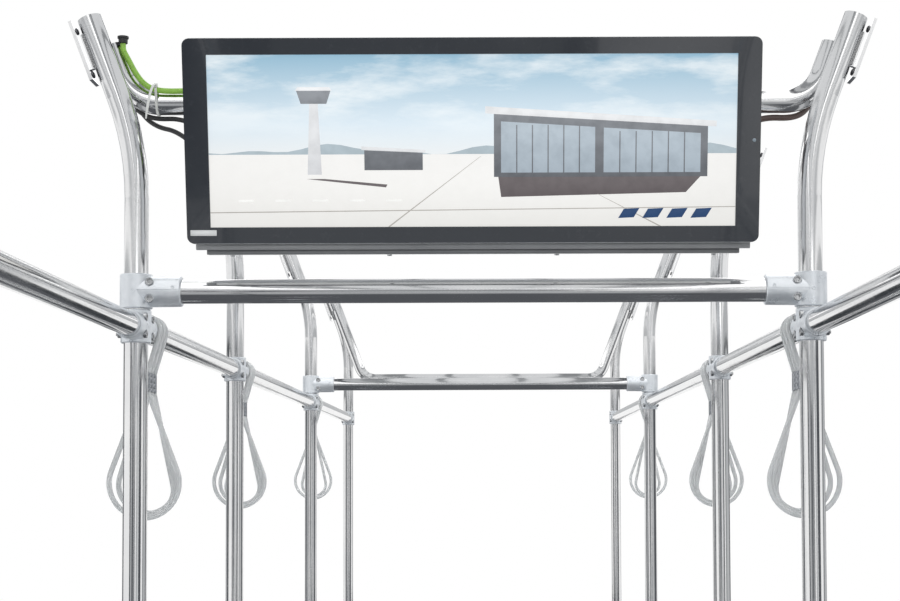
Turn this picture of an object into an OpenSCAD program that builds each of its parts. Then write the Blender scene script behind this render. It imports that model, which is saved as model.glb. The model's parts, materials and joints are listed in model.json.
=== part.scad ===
// Standing-area grab rails of an airport passenger bus: posts, handrails, crossbars,
// cast clamp fittings, ceiling hoops, hanging grab loops and the display on the rear hoop.
// Millimetres. +Z is up, +Y points to the front of the bus, the origin is on the floor.

/* [Layout] */
// Distance between the left and right rows of posts, centre to centre
post_spacing = 980; // [860:5:1300]
// Length of each of the two rear bays, post to post
rear_bay = 925; // [600:5:1500]
// Length of the third bay, at the doors
door_bay = 1410; // [900:5:1800]
// Length of the front bay
front_bay = 1265; // [900:5:1800]
// Height of the handrails' centre line above the floor
rail_z = 1841; // [1780:1:1860]
// Rise of the crossbars' centre line above the handrails' centre line
bar_rise = 51; // [50:1:80]

/* [Tubes] */
// Outside diameter of every tube
tube_d = 35; // [30:0.5:40]
// Wall of every tube
tube_wall = 2; // [1.5:0.25:3]

/* [Posts] */
// Height at which a post starts to lean outwards
bend_z = 2028; // [1990:1:2060]
// Radius of the post's bend, to its centre line
bend_r = 425; // [300:5:500]
// Sine of the angle by which a post's top leans outwards
lean_sine = 0.352; // [0.2:0.008:0.4]
// Height of the post's top end
post_top = 2294; // [2270:1:2330]
// Length of the plate welded to the post's top
plate_len = 92; // [80:1:110]
// Width of the welded plates
plate_w = 40; // [34:1:50]
// Thickness of the welded plates
plate_t = 5; // [3:0.5:8]
// Depth of the web between the post and its plate
web_d = 6; // [6:1:20]
// Thickness of that web
web_t = 8; // [5:1:12]
// Distance between the two screw holes in the post's plate
plate_hole_pitch = 68; // [60:1:80]
// Diameter of the screw holes in the welded plates
screw_hole_d = 7; // [5:0.5:9]

/* [Floor flanges] */
// Diameter of a floor flange
flange_d = 95; // [84:1:120]
// Thickness of a floor flange
flange_t = 8; // [6:0.5:12]
// Thickness left under the post
flange_web = 3; // [2:0.5:4]
// Height of the flange's collar above the floor
collar_h = 34; // [24:1:50]
// Wall of the flange's collar
collar_wall = 4.5; // [3:0.5:7]
// Circle of the flange's screw holes
flange_pcd = 72; // [68:1:90]

/* [Hoops] */
// Height of the rear hoop's crossbar, which carries the display
rear_hoop_z = 2177; // [2120:1:2190]
// Height of the front hoop's crossbar
front_hoop_z = 1983; // [1960:1:2100]
// Height at which the hoops' tubes end
hoop_top = 2262; // [2255:1:2280]
// Distance of a hoop's legs inboard of the leaning posts
hoop_inset = 13.5; // [10:0.5:30]
// Distance along the bus between a hoop and its posts
hoop_offset = 38; // [38:1:60]
// Radius of the hoops' bends, to the centre line
hoop_bend_r = 62; // [50:1:80]
// Distance from the end of a hoop's tube to the end of its welded plate
tab_len = 48; // [44:1:60]
// Distance between the two screw holes in the hoop's plate
tab_hole_pitch = 25; // [20:1:28]

/* [Clamp fittings] */
// Clearance between a tube and the fitting round it, on the radius
fit_gap = 0.2; // [0.1:0.05:0.3]
// Height of a tee's saddle round the post
tee_saddle_h = 50; // [44:1:50]
// Wall of a tee's saddle, measured from the tube
tee_wall = 6; // [5:0.5:8]
// Length of a tee's sleeve from the post's axis
tee_len = 67; // [60:1:80]
// Wall of a tee's sleeve at its mouth, measured from the tube
tee_mouth_wall = 4.5; // [3:0.5:5]
// Height of a cross fitting's saddle round the post
cross_saddle_h = 48; // [40:1:48]
// Wall of a cross fitting's saddle, measured from the tube
cross_wall = 4.5; // [4:0.5:6]
// Length of a cross fitting's arms from the post's axis
cross_len = 52; // [46:1:54]
// Wall of a cross fitting's arms at their mouths, measured from the tube
cross_mouth_wall = 3.5; // [3:0.5:3.5]
// Gap between a rail's or crossbar's end and the post's tube
tube_end_gap = 13; // [12:0.5:16]
// Distance of the clamp screws from the post's axis
clamp_screw_x = 23; // [22:0.5:25]
// Distance of the clamp screws above and below the sleeve's axis
clamp_screw_z = 12.6; // [11:0.1:14]
// Diameter of the clamp screw holes
clamp_hole_d = 6.6; // [5:0.1:7]
// Diameter of the seats for the clamp screws' heads
clamp_seat_d = 14; // [12:0.5:16]
// Depth of those seats, below the saddle's surface beside the screws
clamp_seat_depth = 1.6; // [1:0.1:2]
// Width of the groove along a tee's sleeve
groove_w = 2.5; // [1.5:0.5:4]
// Depth of that groove at the sleeve's mouth
groove_depth = 1; // [0.6:0.1:1.5]
// Gap between the two halves of a fitting
split_gap = 0.8; // [0.5:0.1:2]

/* [Grab loops] */
// Diameter of the coated cable
cord_d = 8; // [6:0.5:9]
// Clearance between the cable and the handrail
cord_gap = 0.3; // [0.2:0.1:0.6]
// Distance of the first loop from the post's axis
loop_first = 62; // [62:1:90]
// Distance between neighbouring loops
loop_pitch = 23; // [20:1:60]
// Sine of the angle at which the strands over the handrail close in on the ferrule
wrap_sine = 0.28; // [0.2:0.008:0.36]
// Half the distance between the strands' ends inside the ferrule
strand_x = 4.2; // [4.2:0.1:5]
// Depth by which the strands' ends sit inside the ferrule
strand_bite = 0.6; // [0.5:0.1:2]
// Length of the ferrule
ferrule_len = 30; // [24:1:40]
// Width of the ferrule
ferrule_w = 17; // [16:0.5:20]
// Depth of the ferrule
ferrule_t = 10.5; // [9:0.5:14]
// Radius of a wide grip's curve, to the cable's centre line
wide_grip_r = 52; // [46:0.5:58]
// Sine of the angle at which a wide grip's strands close in on the ferrule
wide_sine = 0.352; // [0.3:0.004:0.4]
// Radius of a middle grip's curve
middle_grip_r = 43; // [38:0.5:50]
// Sine of the angle of its strands
middle_sine = 0.28; // [0.24:0.008:0.32]
// Radius of a narrow grip's curve
narrow_grip_r = 34.5; // [30:0.5:42]
// Sine of the first part of its strands' angle
narrow_sine = 0.28; // [0.24:0.008:0.32]
// Sine of the second part, which is taken off the first
narrow_back_sine = 0.07584; // [0:0.00632:0.1]

/* [Display] */
// Width of the picture area
screen_w = 741; // [640:1:760]
// Height of the picture area
screen_h = 239; // [200:1:250]
// Width of the front frame at the picture's left and right
frame_side = 33.5; // [20:0.5:40]
// Width of the front frame above and below the picture
frame_top = 22.5; // [14:0.5:30]
// Tilt of the display towards the viewer below it, in degrees
display_tilt = 10.9; // [4:0.1:14]
// Distance of the display's front centre behind the rear hoop's posts
display_y = -92; // [-100:1:-80]
// Height of the display's front centre
display_z = 2092; // [2080:1:2100]
// Thickness of the front frame
bezel_t = 8; // [5:0.5:12]
// Corner radius of the front frame
bezel_r = 10; // [4:0.5:16]
// Depth of the display's housing behind the front frame
housing_d = 54; // [45:1:60]
// Distance of the housing's sides from the front frame's sides
housing_inset = 16; // [8:1:30]
// Thickness of the housing's sheet
sheet_t = 2; // [1.5:0.25:3]
// Depth of the channel behind the housing's foot
channel_d = 42; // [30:1:44]
// Height of that channel
channel_h = 24; // [16:1:30]
// Distance of the two arms from the display's middle
arm_x = 250; // [150:5:330]
// Thickness of the arms' plates
arm_t = 6; // [4:0.5:10]
// Width of the clamps round the hoop
clamp_w = 44; // [40:1:60]
// Wall of the clamps round the hoop
clamp_wall = 8; // [6:0.5:10]

/* [Hidden] */
$fn = 48;

LEFT = -1;
RIGHT = 1;
post_x = post_spacing / 2;
tube_r = tube_d / 2;
bore_r = tube_r + fit_gap;
bar_z = rail_z + bar_rise;
// Places of the five pairs of posts along the bus, rear to front
half_len = rear_bay + (door_bay + front_bay) / 2;
row_y = [-half_len, rear_bay - half_len, 2 * rear_bay - half_len,
         2 * rear_bay + door_bay - half_len, half_len];
last_row = len(row_y) - 1;
bar_rows = [1, 3];
display_row = 1;

// Place of the post's straight top: where its bend ends, and its length
lean = asin(lean_sine);
bend_end_x = bend_r * (1 - cos(lean));
bend_end_z = bend_z + bend_r * sin(lean);
lean_len = (post_top - bend_end_z) / cos(lean);
// Place across the bus of the leaning line at height z, from the post's axis
function lean_x(z) = bend_end_x + (z - bend_end_z) * tan(lean);

tee_r = tube_r + tee_wall;
cross_r = tube_r + cross_wall;
// A sleeve starts this much thinner than the saddle it grows from
sleeve_step = 0.6;
tube_end = tube_r + tube_end_gap;
// The sleeves' bores start a little before the tubes' ends
bore_start = tube_end - 1;
chamfer = 1.2;

// Puts its children on one side of the bus, with +X pointing outboard
module on_side(side) {
    mirror([side < 0 ? 1 : 0, 0, 0]) translate([post_x, 0, 0]) children();
}

// Rod of radius r up the Z axis to the origin, then bent towards +X by the sum of the turns, then straight
module bent_rod(bend, r, turns, below, above) {
    past = 15;
    translate([0, 0, -below]) cylinder(r = r, h = below);
    difference() {
        translate([bend, 0, 0]) rotate([90, 0, 0]) rotate([0, 0, 180]) mirror([0, 1, 0])
            rotate_extrude(angle = sum(turns) + past) translate([bend, 0]) circle(r = r);
        after_bend(bend, turns) translate([-bend, -bend, 0]) cube(2 * bend);
    }
    after_bend(bend, turns) cylinder(r = r, h = above);
}

function sum(v, i = 0) = i == len(v) ? 0 : v[i] + sum(v, i + 1);

// Turns its children about Y by each listed angle
module turned(turns, i = 0) {
    if (i == len(turns)) children();
    else rotate([0, turns[i], 0]) turned(turns, i + 1) children();
}

// Places its children where a bend ends, with z along the rod
module after_bend(bend, turns) {
    translate([bend, 0, 0]) turned(turns) translate([-bend, 0, 0]) children();
}

// Solid shape of the post's tube, with radius r and both ends longer by extra
module post_line(r, extra) {
    translate([0, 0, bend_z]) bent_rod(bend_r, r, [lean], bend_z - flange_web + extra, lean_len + extra);
}

module at_lean() {
    translate([0, 0, bend_z]) after_bend(bend_r, [lean]) children();
}

// Plate that a leaning tube carries on its outboard side; z runs along the tube
module post_plate() {
    web_len = plate_hole_pitch - 2 * screw_hole_d;
    translate([tube_r + web_d, -plate_w / 2, lean_len - plate_len]) cube([plate_t, plate_w, plate_len]);
    translate([tube_r - tube_wall / 2, -web_t / 2, lean_len - (plate_len + web_len) / 2])
        cube([web_d + tube_wall, web_t, web_len]);
}

module post_plate_holes() {
    for (end = [-1, 1])
        translate([tube_r + web_d - 1, 0, lean_len - plate_len / 2 + end * plate_hole_pitch / 2])
            rotate([0, 90, 0]) cylinder(d = screw_hole_d, h = plate_t + 2);
}

module post(side, row) {
    color("gainsboro") translate([0, row_y[row], 0]) on_side(side) difference() {
        union() {
            post_line(tube_r, 0);
            at_lean() post_plate();
        }
        post_line(tube_r - tube_wall, 1);
        at_lean() post_plate_holes();
    }
}

module floor_flange() {
    collar_r = tube_r + collar_wall;
    difference() {
        union() {
            cylinder(d = flange_d, h = flange_t - chamfer);
            translate([0, 0, flange_t - chamfer])
                cylinder(d1 = flange_d, d2 = flange_d - 2 * chamfer, h = chamfer);
            cylinder(r = collar_r, h = collar_h - chamfer);
            translate([0, 0, collar_h - chamfer])
                cylinder(r1 = collar_r, r2 = collar_r - chamfer, h = chamfer);
        }
        translate([0, 0, flange_web]) cylinder(r = bore_r, h = collar_h);
        for (a = [45:90:315]) rotate([0, 0, a]) translate([flange_pcd / 2, 0, -1])
            cylinder(d = screw_hole_d, h = flange_t + 2);
    }
}

module floor_flanges(side) {
    color("silver") for (y = row_y) translate([0, y, 0]) on_side(side) floor_flange();
}

// Handrail of one side, cut at each post
module rail(side) {
    color("gainsboro") on_side(side) for (row = [1:last_row])
        translate([0, row_y[row - 1] + tube_end, rail_z]) rotate([-90, 0, 0])
            pipe(row_y[row] - row_y[row - 1] - 2 * tube_end);
}

module pipe(len) {
    difference() {
        cylinder(r = tube_r, h = len);
        translate([0, 0, -1]) cylinder(r = tube_r - tube_wall, h = len + 2);
    }
}

module crossbar(row) {
    color("gainsboro") translate([-post_x + tube_end, row_y[row], bar_z]) rotate([0, 90, 0])
        pipe(post_spacing - 2 * tube_end);
}

// Cylinder along Z from z0 to z1 with its end at z1 chamfered, tapering from r0 to r1
module stub(r0, r1, z0, z1) {
    translate([0, 0, z0]) cylinder(r1 = r0, r2 = r1, h = z1 - z0 - chamfer);
    translate([0, 0, z1 - chamfer]) cylinder(r1 = r1, r2 = r1 - chamfer, h = chamfer);
}

// Barrel round the post
module saddle(r, h) {
    for (m = [0, 1]) mirror([0, 0, m]) stub(r, r, 0, h / 2);
}

// Tapered sleeve along +X that starts on the post's axis
module sleeve(r, mouth_r, len) {
    rotate([0, 90, 0]) stub(r - sleeve_step, mouth_r, 0, len);
}

module sleeve_bore(len) {
    translate([bore_start, 0, 0]) rotate([0, 90, 0]) cylinder(r = bore_r, h = len);
}

// Holes for the clamp screws, along Y, with flat seats for their heads on both faces
module clamp_screws(r) {
    seat_y = sqrt(pow(r, 2) - pow(clamp_screw_z, 2)) - clamp_seat_depth;
    for (z = [-clamp_screw_z, clamp_screw_z]) translate([clamp_screw_x, 0, z]) rotate([90, 0, 0]) {
        cylinder(d = clamp_hole_d, h = 4 * r, center = true);
        for (m = [0, 1]) mirror([0, 0, m]) translate([0, 0, seat_y]) cylinder(d = clamp_seat_d, h = r);
    }
}

// Tee fitting before it is split: sleeve towards +X
module tee_solid() {
    mouth_r = tube_r + tee_mouth_wall;
    groove_start = 5;
    difference() {
        union() {
            saddle(tee_r, tee_saddle_h);
            sleeve(tee_r, mouth_r, tee_len);
        }
        cylinder(r = bore_r, h = tee_saddle_h + 2, center = true);
        sleeve_bore(tee_len);
        clamp_screws(tee_r);
        for (m = [0, 1]) mirror([0, m, 0]) translate([groove_start, mouth_r - groove_depth, -groove_w / 2])
            cube([tee_len, tee_r, groove_w]);
    }
}

// Keeps the half of its children that lies towards +Y or -Y
module half(end) {
    big = 2 * tee_len;
    intersection() {
        children();
        translate([0, end * (big + split_gap / 2), 0]) cube([2 * big, 2 * big, 2 * big], center = true);
    }
}

// The tees' sleeves point inboard, to the crossbars
module tee_shells(end) {
    color("lightgray") for (row = bar_rows, side = [LEFT, RIGHT])
        translate([0, row_y[row], bar_z]) on_side(side) mirror([1, 0, 0]) half(end) tee_solid();
}

// Cross fitting before it is split: arms towards the listed ends of X
module cross_solid(ends) {
    difference() {
        union() {
            saddle(cross_r, cross_saddle_h);
            for (end = ends) mirror([end < 0 ? 1 : 0, 0, 0])
                sleeve(cross_r, tube_r + cross_mouth_wall, cross_len);
        }
        cylinder(r = bore_r, h = cross_saddle_h + 2, center = true);
        for (end = ends) mirror([end < 0 ? 1 : 0, 0, 0]) {
            sleeve_bore(cross_len);
            clamp_screws(cross_r);
        }
    }
}

// One half of each cross fitting on a side: face 1 is the outboard half, -1 the inboard one
module cross_shells(side, face) {
    color("lightgray") for (row = [0:last_row]) {
        ends = row == 0 ? [1] : row == last_row ? [-1] : [-1, 1];
        translate([0, row_y[row], rail_z]) on_side(side) rotate([0, 0, 90]) half(-face) cross_solid(ends);
    }
}

// Solid shape of half a hoop's tube, right side, with its leg longer by extra
module hoop_half(z, r, extra) {
    turn = 90 - lean;
    corner_x = post_x + lean_x(z) - hoop_inset;
    flat_x = corner_x - hoop_bend_r * tan(turn / 2);
    leg = (hoop_top - z - hoop_bend_r * (1 - cos(turn))) / cos(lean);
    translate([flat_x, 0, z]) rotate([0, 90, 0]) mirror([1, 0, 0])
        bent_rod(hoop_bend_r, r, [turn], flat_x, leg + extra);
}

// Places its children at the end of the hoop's right leg, with z along the leg
module at_leg_end() {
    translate([post_x + lean_x(hoop_top) - hoop_inset, 0, hoop_top]) rotate([0, lean, 0]) children();
}

module hoop_plate() {
    lap = 28;
    translate([tube_r - tube_wall + 0.5, -plate_w / 2, -lap]) cube([plate_t, plate_w, lap + tab_len]);
}

module hoop_plate_holes() {
    for (z = [tab_len / 2 - tab_hole_pitch / 2, tab_len / 2 + tab_hole_pitch / 2])
        translate([tube_r - tube_wall, 0, z]) rotate([0, 90, 0]) cylinder(d = screw_hole_d, h = plate_t + 2);
}

module hoop(row, z, end) {
    color("gainsboro") translate([0, row_y[row] + end * hoop_offset, 0]) difference() {
        for (side = [0, 1]) mirror([side, 0, 0]) {
            hoop_half(z, tube_r, 0);
            at_leg_end() hoop_plate();
        }
        for (side = [0, 1]) mirror([side, 0, 0]) {
            hoop_half(z, tube_r - tube_wall, 1);
            at_leg_end() hoop_plate_holes();
        }
    }
}

display_w = screen_w + 2 * frame_side;
display_h = screen_h + 2 * frame_top;

// Display's own frame: X across, Y back from the front face, Z up along the display
module in_display() {
    translate([0, row_y[display_row] + display_y, display_z]) rotate([display_tilt, 0, 0]) children();
}
// Place of the hoop's axis in the display's frame
hoop_dy = hoop_offset - display_y;
hoop_dz = rear_hoop_z - display_z;
tube_y = hoop_dy * cos(display_tilt) + hoop_dz * sin(display_tilt);
tube_z = -hoop_dy * sin(display_tilt) + hoop_dz * cos(display_tilt);
seat_gap = 0.3;
housing_back = bezel_t + housing_d;
bracket_y = housing_back + seat_gap;

// Slab with rounded corners, w wide and h high, from y0 to y1 in the display's frame
module slab(w, h, r, y0, y1) {
    translate([0, y1, 0]) rotate([90, 0, 0]) linear_extrude(y1 - y0) {
        square([w - 2 * r, h], center = true);
        square([w, h - 2 * r], center = true);
        for (x = [-1, 1], z = [-1, 1]) translate([x * (w / 2 - r), z * (h / 2 - r)]) circle(r = r);
    }
}

module display_bezel() {
    color([0.08, 0.09, 0.1]) in_display() difference() {
        slab(display_w, display_h, bezel_r, 0, bezel_t - seat_gap);
        slab(screen_w, screen_h, 1, -1, bezel_t + 1);
    }
}

module display_screen() {
    recess = 0.8;
    color("lightsteelblue") in_display()
        slab(screen_w - 2 * seat_gap, screen_h - 2 * seat_gap, 0.8, recess, bezel_t - seat_gap);
}

// Sheet housing with a rim that shows round the front frame, and vents in its back
module display_housing() {
    rim = 1;
    w = display_w - 2 * housing_inset;
    vent_len = 60;
    vent_h = 4;
    vent_pitch = 12;
    color("silver") in_display() difference() {
        union() {
            slab(display_w + 2 * rim, display_h + 2 * rim, bezel_r + rim, bezel_t, bezel_t + 1.5);
            slab(w, display_h, 4, bezel_t, housing_back);
        }
        slab(w - 2 * sheet_t, display_h - 2 * sheet_t, 2, bezel_t + sheet_t, housing_back - sheet_t);
        for (x = [-1, 1], k = [-3:3]) translate([x * arm_x / 2, housing_back - sheet_t / 2, k * vent_pitch])
            cube([vent_len, 2 * sheet_t, vent_h], center = true);
    }
}

// Channel behind the housing's foot, open at the back
module display_channel() {
    len = display_w - 2 * housing_inset;
    wall = 2.5;
    color("darkgray") in_display() translate([-len / 2, bracket_y, -display_h / 2]) difference() {
        cube([len, channel_d, channel_h]);
        translate([-1, wall, wall]) cube([len + 2, channel_d, channel_h - 2 * wall]);
    }
}

// Places its children on each clamp: X across the clamp, origin on the hoop's axis
module at_clamps() {
    in_display() for (x = [-arm_x, arm_x]) translate([x, tube_y, tube_z]) children();
}

ear_h = 18;
ear_t = 7;
clamp_bolt_z = bore_r + clamp_wall + ear_h / 2;
clamp_bolt_x = clamp_w / 2 - 8;
// One half of the clamp ring with its ears: face -1 is the half towards the display
module clamp_half(face) {
    ring_r = bore_r + clamp_wall;
    difference() {
        intersection() {
            union() {
                rotate([0, 90, 0]) cylinder(r = ring_r, h = clamp_w, center = true);
                for (z = [-1, 1]) translate([0, 0, z * (ring_r + ear_h / 2 - 1)])
                    cube([clamp_w, 2 * ear_t, ear_h + 2], center = true);
            }
            translate([0, face * (ring_r + split_gap / 2), 0])
                cube([clamp_w + 2, 2 * ring_r, 4 * ring_r], center = true);
        }
        clamp_bores();
    }
}

module clamp_bores() {
    rotate([0, 90, 0]) cylinder(r = bore_r, h = clamp_w + 2, center = true);
    for (x = [-1, 1], z = [-1, 1]) translate([x * clamp_bolt_x, 0, z * clamp_bolt_z])
        rotate([90, 0, 0]) cylinder(d = clamp_hole_d, h = 40, center = true);
}

// Arm from the housing's back to the hoop: a foot strip, a plate and half the clamp
module display_arms() {
    foot_w = 44;
    foot_t = 4;
    foot_top = 112;
    foot_low = channel_h + seat_gap - display_h / 2;
    near = tube_y - bracket_y;
    profile = [[0, foot_low], [channel_d - 14, foot_low], [channel_d - 12, -40], [near - 22, tube_z - 30],
        [near - 3, tube_z - 24], [near - 3, tube_z + 24], [near - 22, tube_z + 30], [26, foot_top], [0, foot_top]];
    color("dimgray") {
        at_clamps() clamp_half(-1);
        in_display() for (x = [-arm_x, arm_x]) translate([x, bracket_y, 0]) difference() {
            union() {
                translate([-foot_w / 2, 0, foot_low]) cube([foot_w, foot_t, foot_top - foot_low]);
                translate([-arm_t / 2, 0, 0]) rotate([90, 0, 90]) linear_extrude(arm_t) polygon(profile);
            }
            translate([0, near, tube_z]) clamp_bores();
            for (z = [foot_low + 20, foot_top - 16], s = [-1, 1]) translate([s * 15, -1, z])
                rotate([-90, 0, 0]) cylinder(d = 5.5, h = foot_t + 2);
        }
    }
}

module display_clamp_caps() {
    color("dimgray") at_clamps() clamp_half(1);
}

// Places and sizes of the cable glands on the housing's back: x, z, cable radius
GLANDS = [
    [-310, 30, 4.2],
    [-350, -40, 3.5],
    [-350, -10, 3.5],
    [340, -10, 4.5]
];
gland_len = 14;
gland_wall = 4;

module display_glands() {
    color("black") in_display() for (g = GLANDS) translate([g[0], housing_back, g[1]]) rotate([-90, 0, 0])
        difference() {
            union() {
                cylinder(r = g[2] + gland_wall + 2, h = 5, $fn = 6);
                cylinder(r = g[2] + gland_wall, h = gland_len);
            }
            translate([0, 0, 2]) cylinder(r = g[2] + 0.1, h = gland_len);
        }
}

// Points of the display's frame that a cable reaches at gland g, y0 from the housing's back
function gland_pt(g, y0) = let(y = housing_back + y0, z = GLANDS[g][1])
    [GLANDS[g][0], display_y + y * cos(display_tilt) - z * sin(display_tilt),
     display_z + y * sin(display_tilt) + z * cos(display_tilt)];

// Routes of the cables, from the ceiling along the rear hoop, as x, y from the posts, z
GREEN = [[-516, 20.5, 2262], [-516, 20.5, 2252], [-509, 21, 2240], [-500, 22, 2222], [-489, 22, 2206],
         [-475, 20, 2195], [-455, 19, 2190.5], [-420, 19, 2191], [-350, 17, 2193], [-322, 12, 2193],
         [-306, 2, 2186]];
BLACK_LOW = [[-532, 67, 2262], [-532, 67, 2252], [-524, 67, 2234], [-514, 67, 2204], [-497, 66, 2166],
             [-472, 54, 2145], [-440, 40, 2136], [-404, 22, 2106], [-368, 18, 2078]];
BLACK_HIGH = [[-550, 67, 2262], [-550, 67, 2252], [-541, 63, 2236], [-524, 60.5, 2202], [-504, 56, 2171],
              [-476, 44, 2154.5], [-430, 38, 2154.5], [-392, 28, 2130], [-362, 14, 2106]];
BLACK_RIGHT = [[536, 67, 2262], [536, 67, 2252], [527, 65, 2236], [516, 63, 2204], [500, 58, 2169],
               [476, 45, 2153], [430, 38, 2153.5], [390, 26, 2134], [356, 16, 2104]];

// Rubber bushes in the ceiling, where the cables come out: the route, the cable's radius
BUSHES = [[GREEN, GLANDS[0][2]], [BLACK_LOW, GLANDS[1][2]],
          [BLACK_HIGH, GLANDS[2][2]], [BLACK_RIGHT, GLANDS[3][2]]];
bush_neck = 7;
bush_flange = 3.5;
bush_wall = 2.5;

module ceiling_bushes() {
    color("black") for (b = BUSHES)
        translate(b[0][0] + [0, row_y[display_row], fit_gap]) {
            cylinder(r = b[1] + bush_wall, h = bush_neck);
            translate([0, 0, bush_neck]) cylinder(r = b[1] + 2 * bush_wall - 1, h = bush_flange);
        }
}

function unit(v) = v / norm(v);
// Rounds a route by cutting its corners n times
function rounded(p, n) = n == 0 ? p : rounded(concat([p[0]],
    [for (i = [0:len(p) - 2]) each [0.75 * p[i] + 0.25 * p[i + 1], 0.25 * p[i] + 0.75 * p[i + 1]]],
    [p[len(p) - 1]]), n - 1);
function tangents(p) = [for (i = [0:len(p) - 1])
    unit(p[min(i + 1, len(p) - 1)] - p[max(i - 1, 0)])];
// Carries a sideways direction along the route without twist
function carried(t, u, i = 0) = i == len(t) ? [] :
    let(v = unit(u - (u * t[i]) * t[i])) concat([v], carried(t, v, i + 1));

module cable(route, r) {
    sides = 8;
    p = rounded(route, 2);
    t = tangents(p);
    u = carried(t, [0, 1, 0.1]);
    n = len(p);
    rings = [for (i = [0:n - 1], k = [0:sides - 1]) let(a = 360 * k / sides)
        p[i] + r * (cos(a) * u[i] + sin(a) * cross(t[i], u[i]))];
    walls = [for (i = [0:n - 2], k = [0:sides - 1]) let(m = (k + 1) % sides)
        [i * sides + k, (i + 1) * sides + k, (i + 1) * sides + m, i * sides + m]];
    first = [for (k = [0:sides - 1]) k];
    last = [for (k = [0:sides - 1]) n * sides - 1 - k];
    translate([0, row_y[display_row], 0]) polyhedron(concat([for (q = rings) q]), concat([first], walls, [last]));
}

function to_gland(route, g) = concat(route, [gland_pt(g, gland_len + 12), gland_pt(g, gland_len + 0.2)]);

module cable_green() {
    color("yellowgreen") cable(to_gland(GREEN, 0), GLANDS[0][2]);
}

module cable_black_low() {
    color([0.1, 0.1, 0.1]) cable(to_gland(BLACK_LOW, 1), GLANDS[1][2]);
}

module cable_black_high() {
    color([0.1, 0.1, 0.1]) cable(to_gland(BLACK_HIGH, 2), GLANDS[2][2]);
}

module cable_black_right() {
    color([0.1, 0.1, 0.1]) cable(to_gland(BLACK_RIGHT, 3), GLANDS[3][2]);
}

// Length of a strand from a bend of radius r to its end in the ferrule, closing in by angle a
function strand_len(r, a) = (r * cos(a) - strand_x) / sin(a);
// Height from the bend's centre to the ferrule's near end
function ferrule_from(r, a) = r * sin(a) + strand_len(r, a) * cos(a) - cord_d / 2 * sin(a) - strand_bite;

// Bend of cable over the top of a circle of radius r; its two strands close in below by the sum of the turns
module horseshoe(r, turns) {
    strand = strand_len(r, sum(turns));
    rest = [for (i = [1:1:len(turns) - 1]) each [turns[i], turns[i]]];
    turned(-turns) translate([-r, 0, 0])
        bent_rod(r, cord_d / 2, concat([180 + 2 * turns[0]], rest), strand, strand);
}

// Grips: radius of the curve, turns that add up to the strands' angle
WIDE = [wide_grip_r, [asin(wide_sine)]];
MIDDLE = [middle_grip_r, [asin(middle_sine)]];
NARROW = [narrow_grip_r, [asin(narrow_sine), -asin(narrow_back_sine)]];

// Loop of coated cable over the handrail, closed by a pressed ferrule; origin on the rail's axis
module grab_loop(side, row, place, grip) {
    wrap_r = tube_r + cord_gap + cord_d / 2;
    wrap_turns = [asin(wrap_sine)];
    low = -ferrule_from(wrap_r, sum(wrap_turns)) - ferrule_len;
    end = (ferrule_w - ferrule_t) / 2;
    color("whitesmoke") translate([side * post_x, row_y[row] + loop_first + place * loop_pitch, rail_z]) {
        horseshoe(wrap_r, wrap_turns);
        translate([0, 0, low - ferrule_from(grip[0], sum(grip[1]))]) mirror([0, 0, 1]) horseshoe(grip[0], grip[1]);
        translate([0, 0, low]) linear_extrude(ferrule_len) {
            square([2 * end, ferrule_t], center = true);
            for (x = [-end, end]) translate([x, 0]) circle(d = ferrule_t);
        }
    }
}

post(LEFT, 0);  // post_left_1
post(LEFT, 1);  // post_left_2
post(LEFT, 2);  // post_left_3
post(LEFT, 3);  // post_left_4
post(LEFT, 4);  // post_left_5
post(RIGHT, 0);  // post_right_1
post(RIGHT, 1);  // post_right_2
post(RIGHT, 2);  // post_right_3
post(RIGHT, 3);  // post_right_4
post(RIGHT, 4);  // post_right_5
floor_flanges(LEFT);  // floor_flanges_left
floor_flanges(RIGHT);  // floor_flanges_right
rail(LEFT);  // rail_left
rail(RIGHT);  // rail_right
crossbar(bar_rows[0]);  // crossbar_rear
crossbar(bar_rows[1]);  // crossbar_front
tee_shells(-1);  // tee_rear_shells
tee_shells(1);  // tee_front_shells
cross_shells(LEFT, -1);  // cross_inboard_left
cross_shells(LEFT, 1);  // cross_outboard_left
cross_shells(RIGHT, -1);  // cross_inboard_right
cross_shells(RIGHT, 1);  // cross_outboard_right
hoop(display_row, rear_hoop_z, 1);  // hoop_rear
hoop(last_row, front_hoop_z, -1);  // hoop_front
display_bezel();
display_screen();
display_housing();
display_channel();
display_arms();
display_clamp_caps();
display_glands();
ceiling_bushes();
cable_green();
cable_black_low();
cable_black_high();
cable_black_right();
grab_loop(LEFT, 1, 0, WIDE);  // loop_left_2a
grab_loop(LEFT, 1, 1, MIDDLE);  // loop_left_2b
grab_loop(LEFT, 1, 2, NARROW);  // loop_left_2c
grab_loop(LEFT, 2, 0, WIDE);  // loop_left_3a
grab_loop(LEFT, 2, 1, MIDDLE);  // loop_left_3b
grab_loop(LEFT, 2, 2, NARROW);  // loop_left_3c
grab_loop(LEFT, 3, 0, WIDE);  // loop_left_4a
grab_loop(LEFT, 3, 1, NARROW);  // loop_left_4b
grab_loop(RIGHT, 1, 0, WIDE);  // loop_right_2a
grab_loop(RIGHT, 1, 1, MIDDLE);  // loop_right_2b
grab_loop(RIGHT, 1, 2, NARROW);  // loop_right_2c
grab_loop(RIGHT, 2, 0, WIDE);  // loop_right_3a
grab_loop(RIGHT, 2, 1, MIDDLE);  // loop_right_3b
grab_loop(RIGHT, 2, 2, NARROW);  // loop_right_3c
grab_loop(RIGHT, 3, 0, WIDE);  // loop_right_4a
grab_loop(RIGHT, 3, 1, NARROW);  // loop_right_4b
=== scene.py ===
"""Looks of the standing-area grab rails of an airport passenger bus. Metres, in the part's own frame."""

import json
import math

import bmesh
import bpy
from mathutils import Matrix, Vector
from mathutils.geometry import convex_hull_2d


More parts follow.
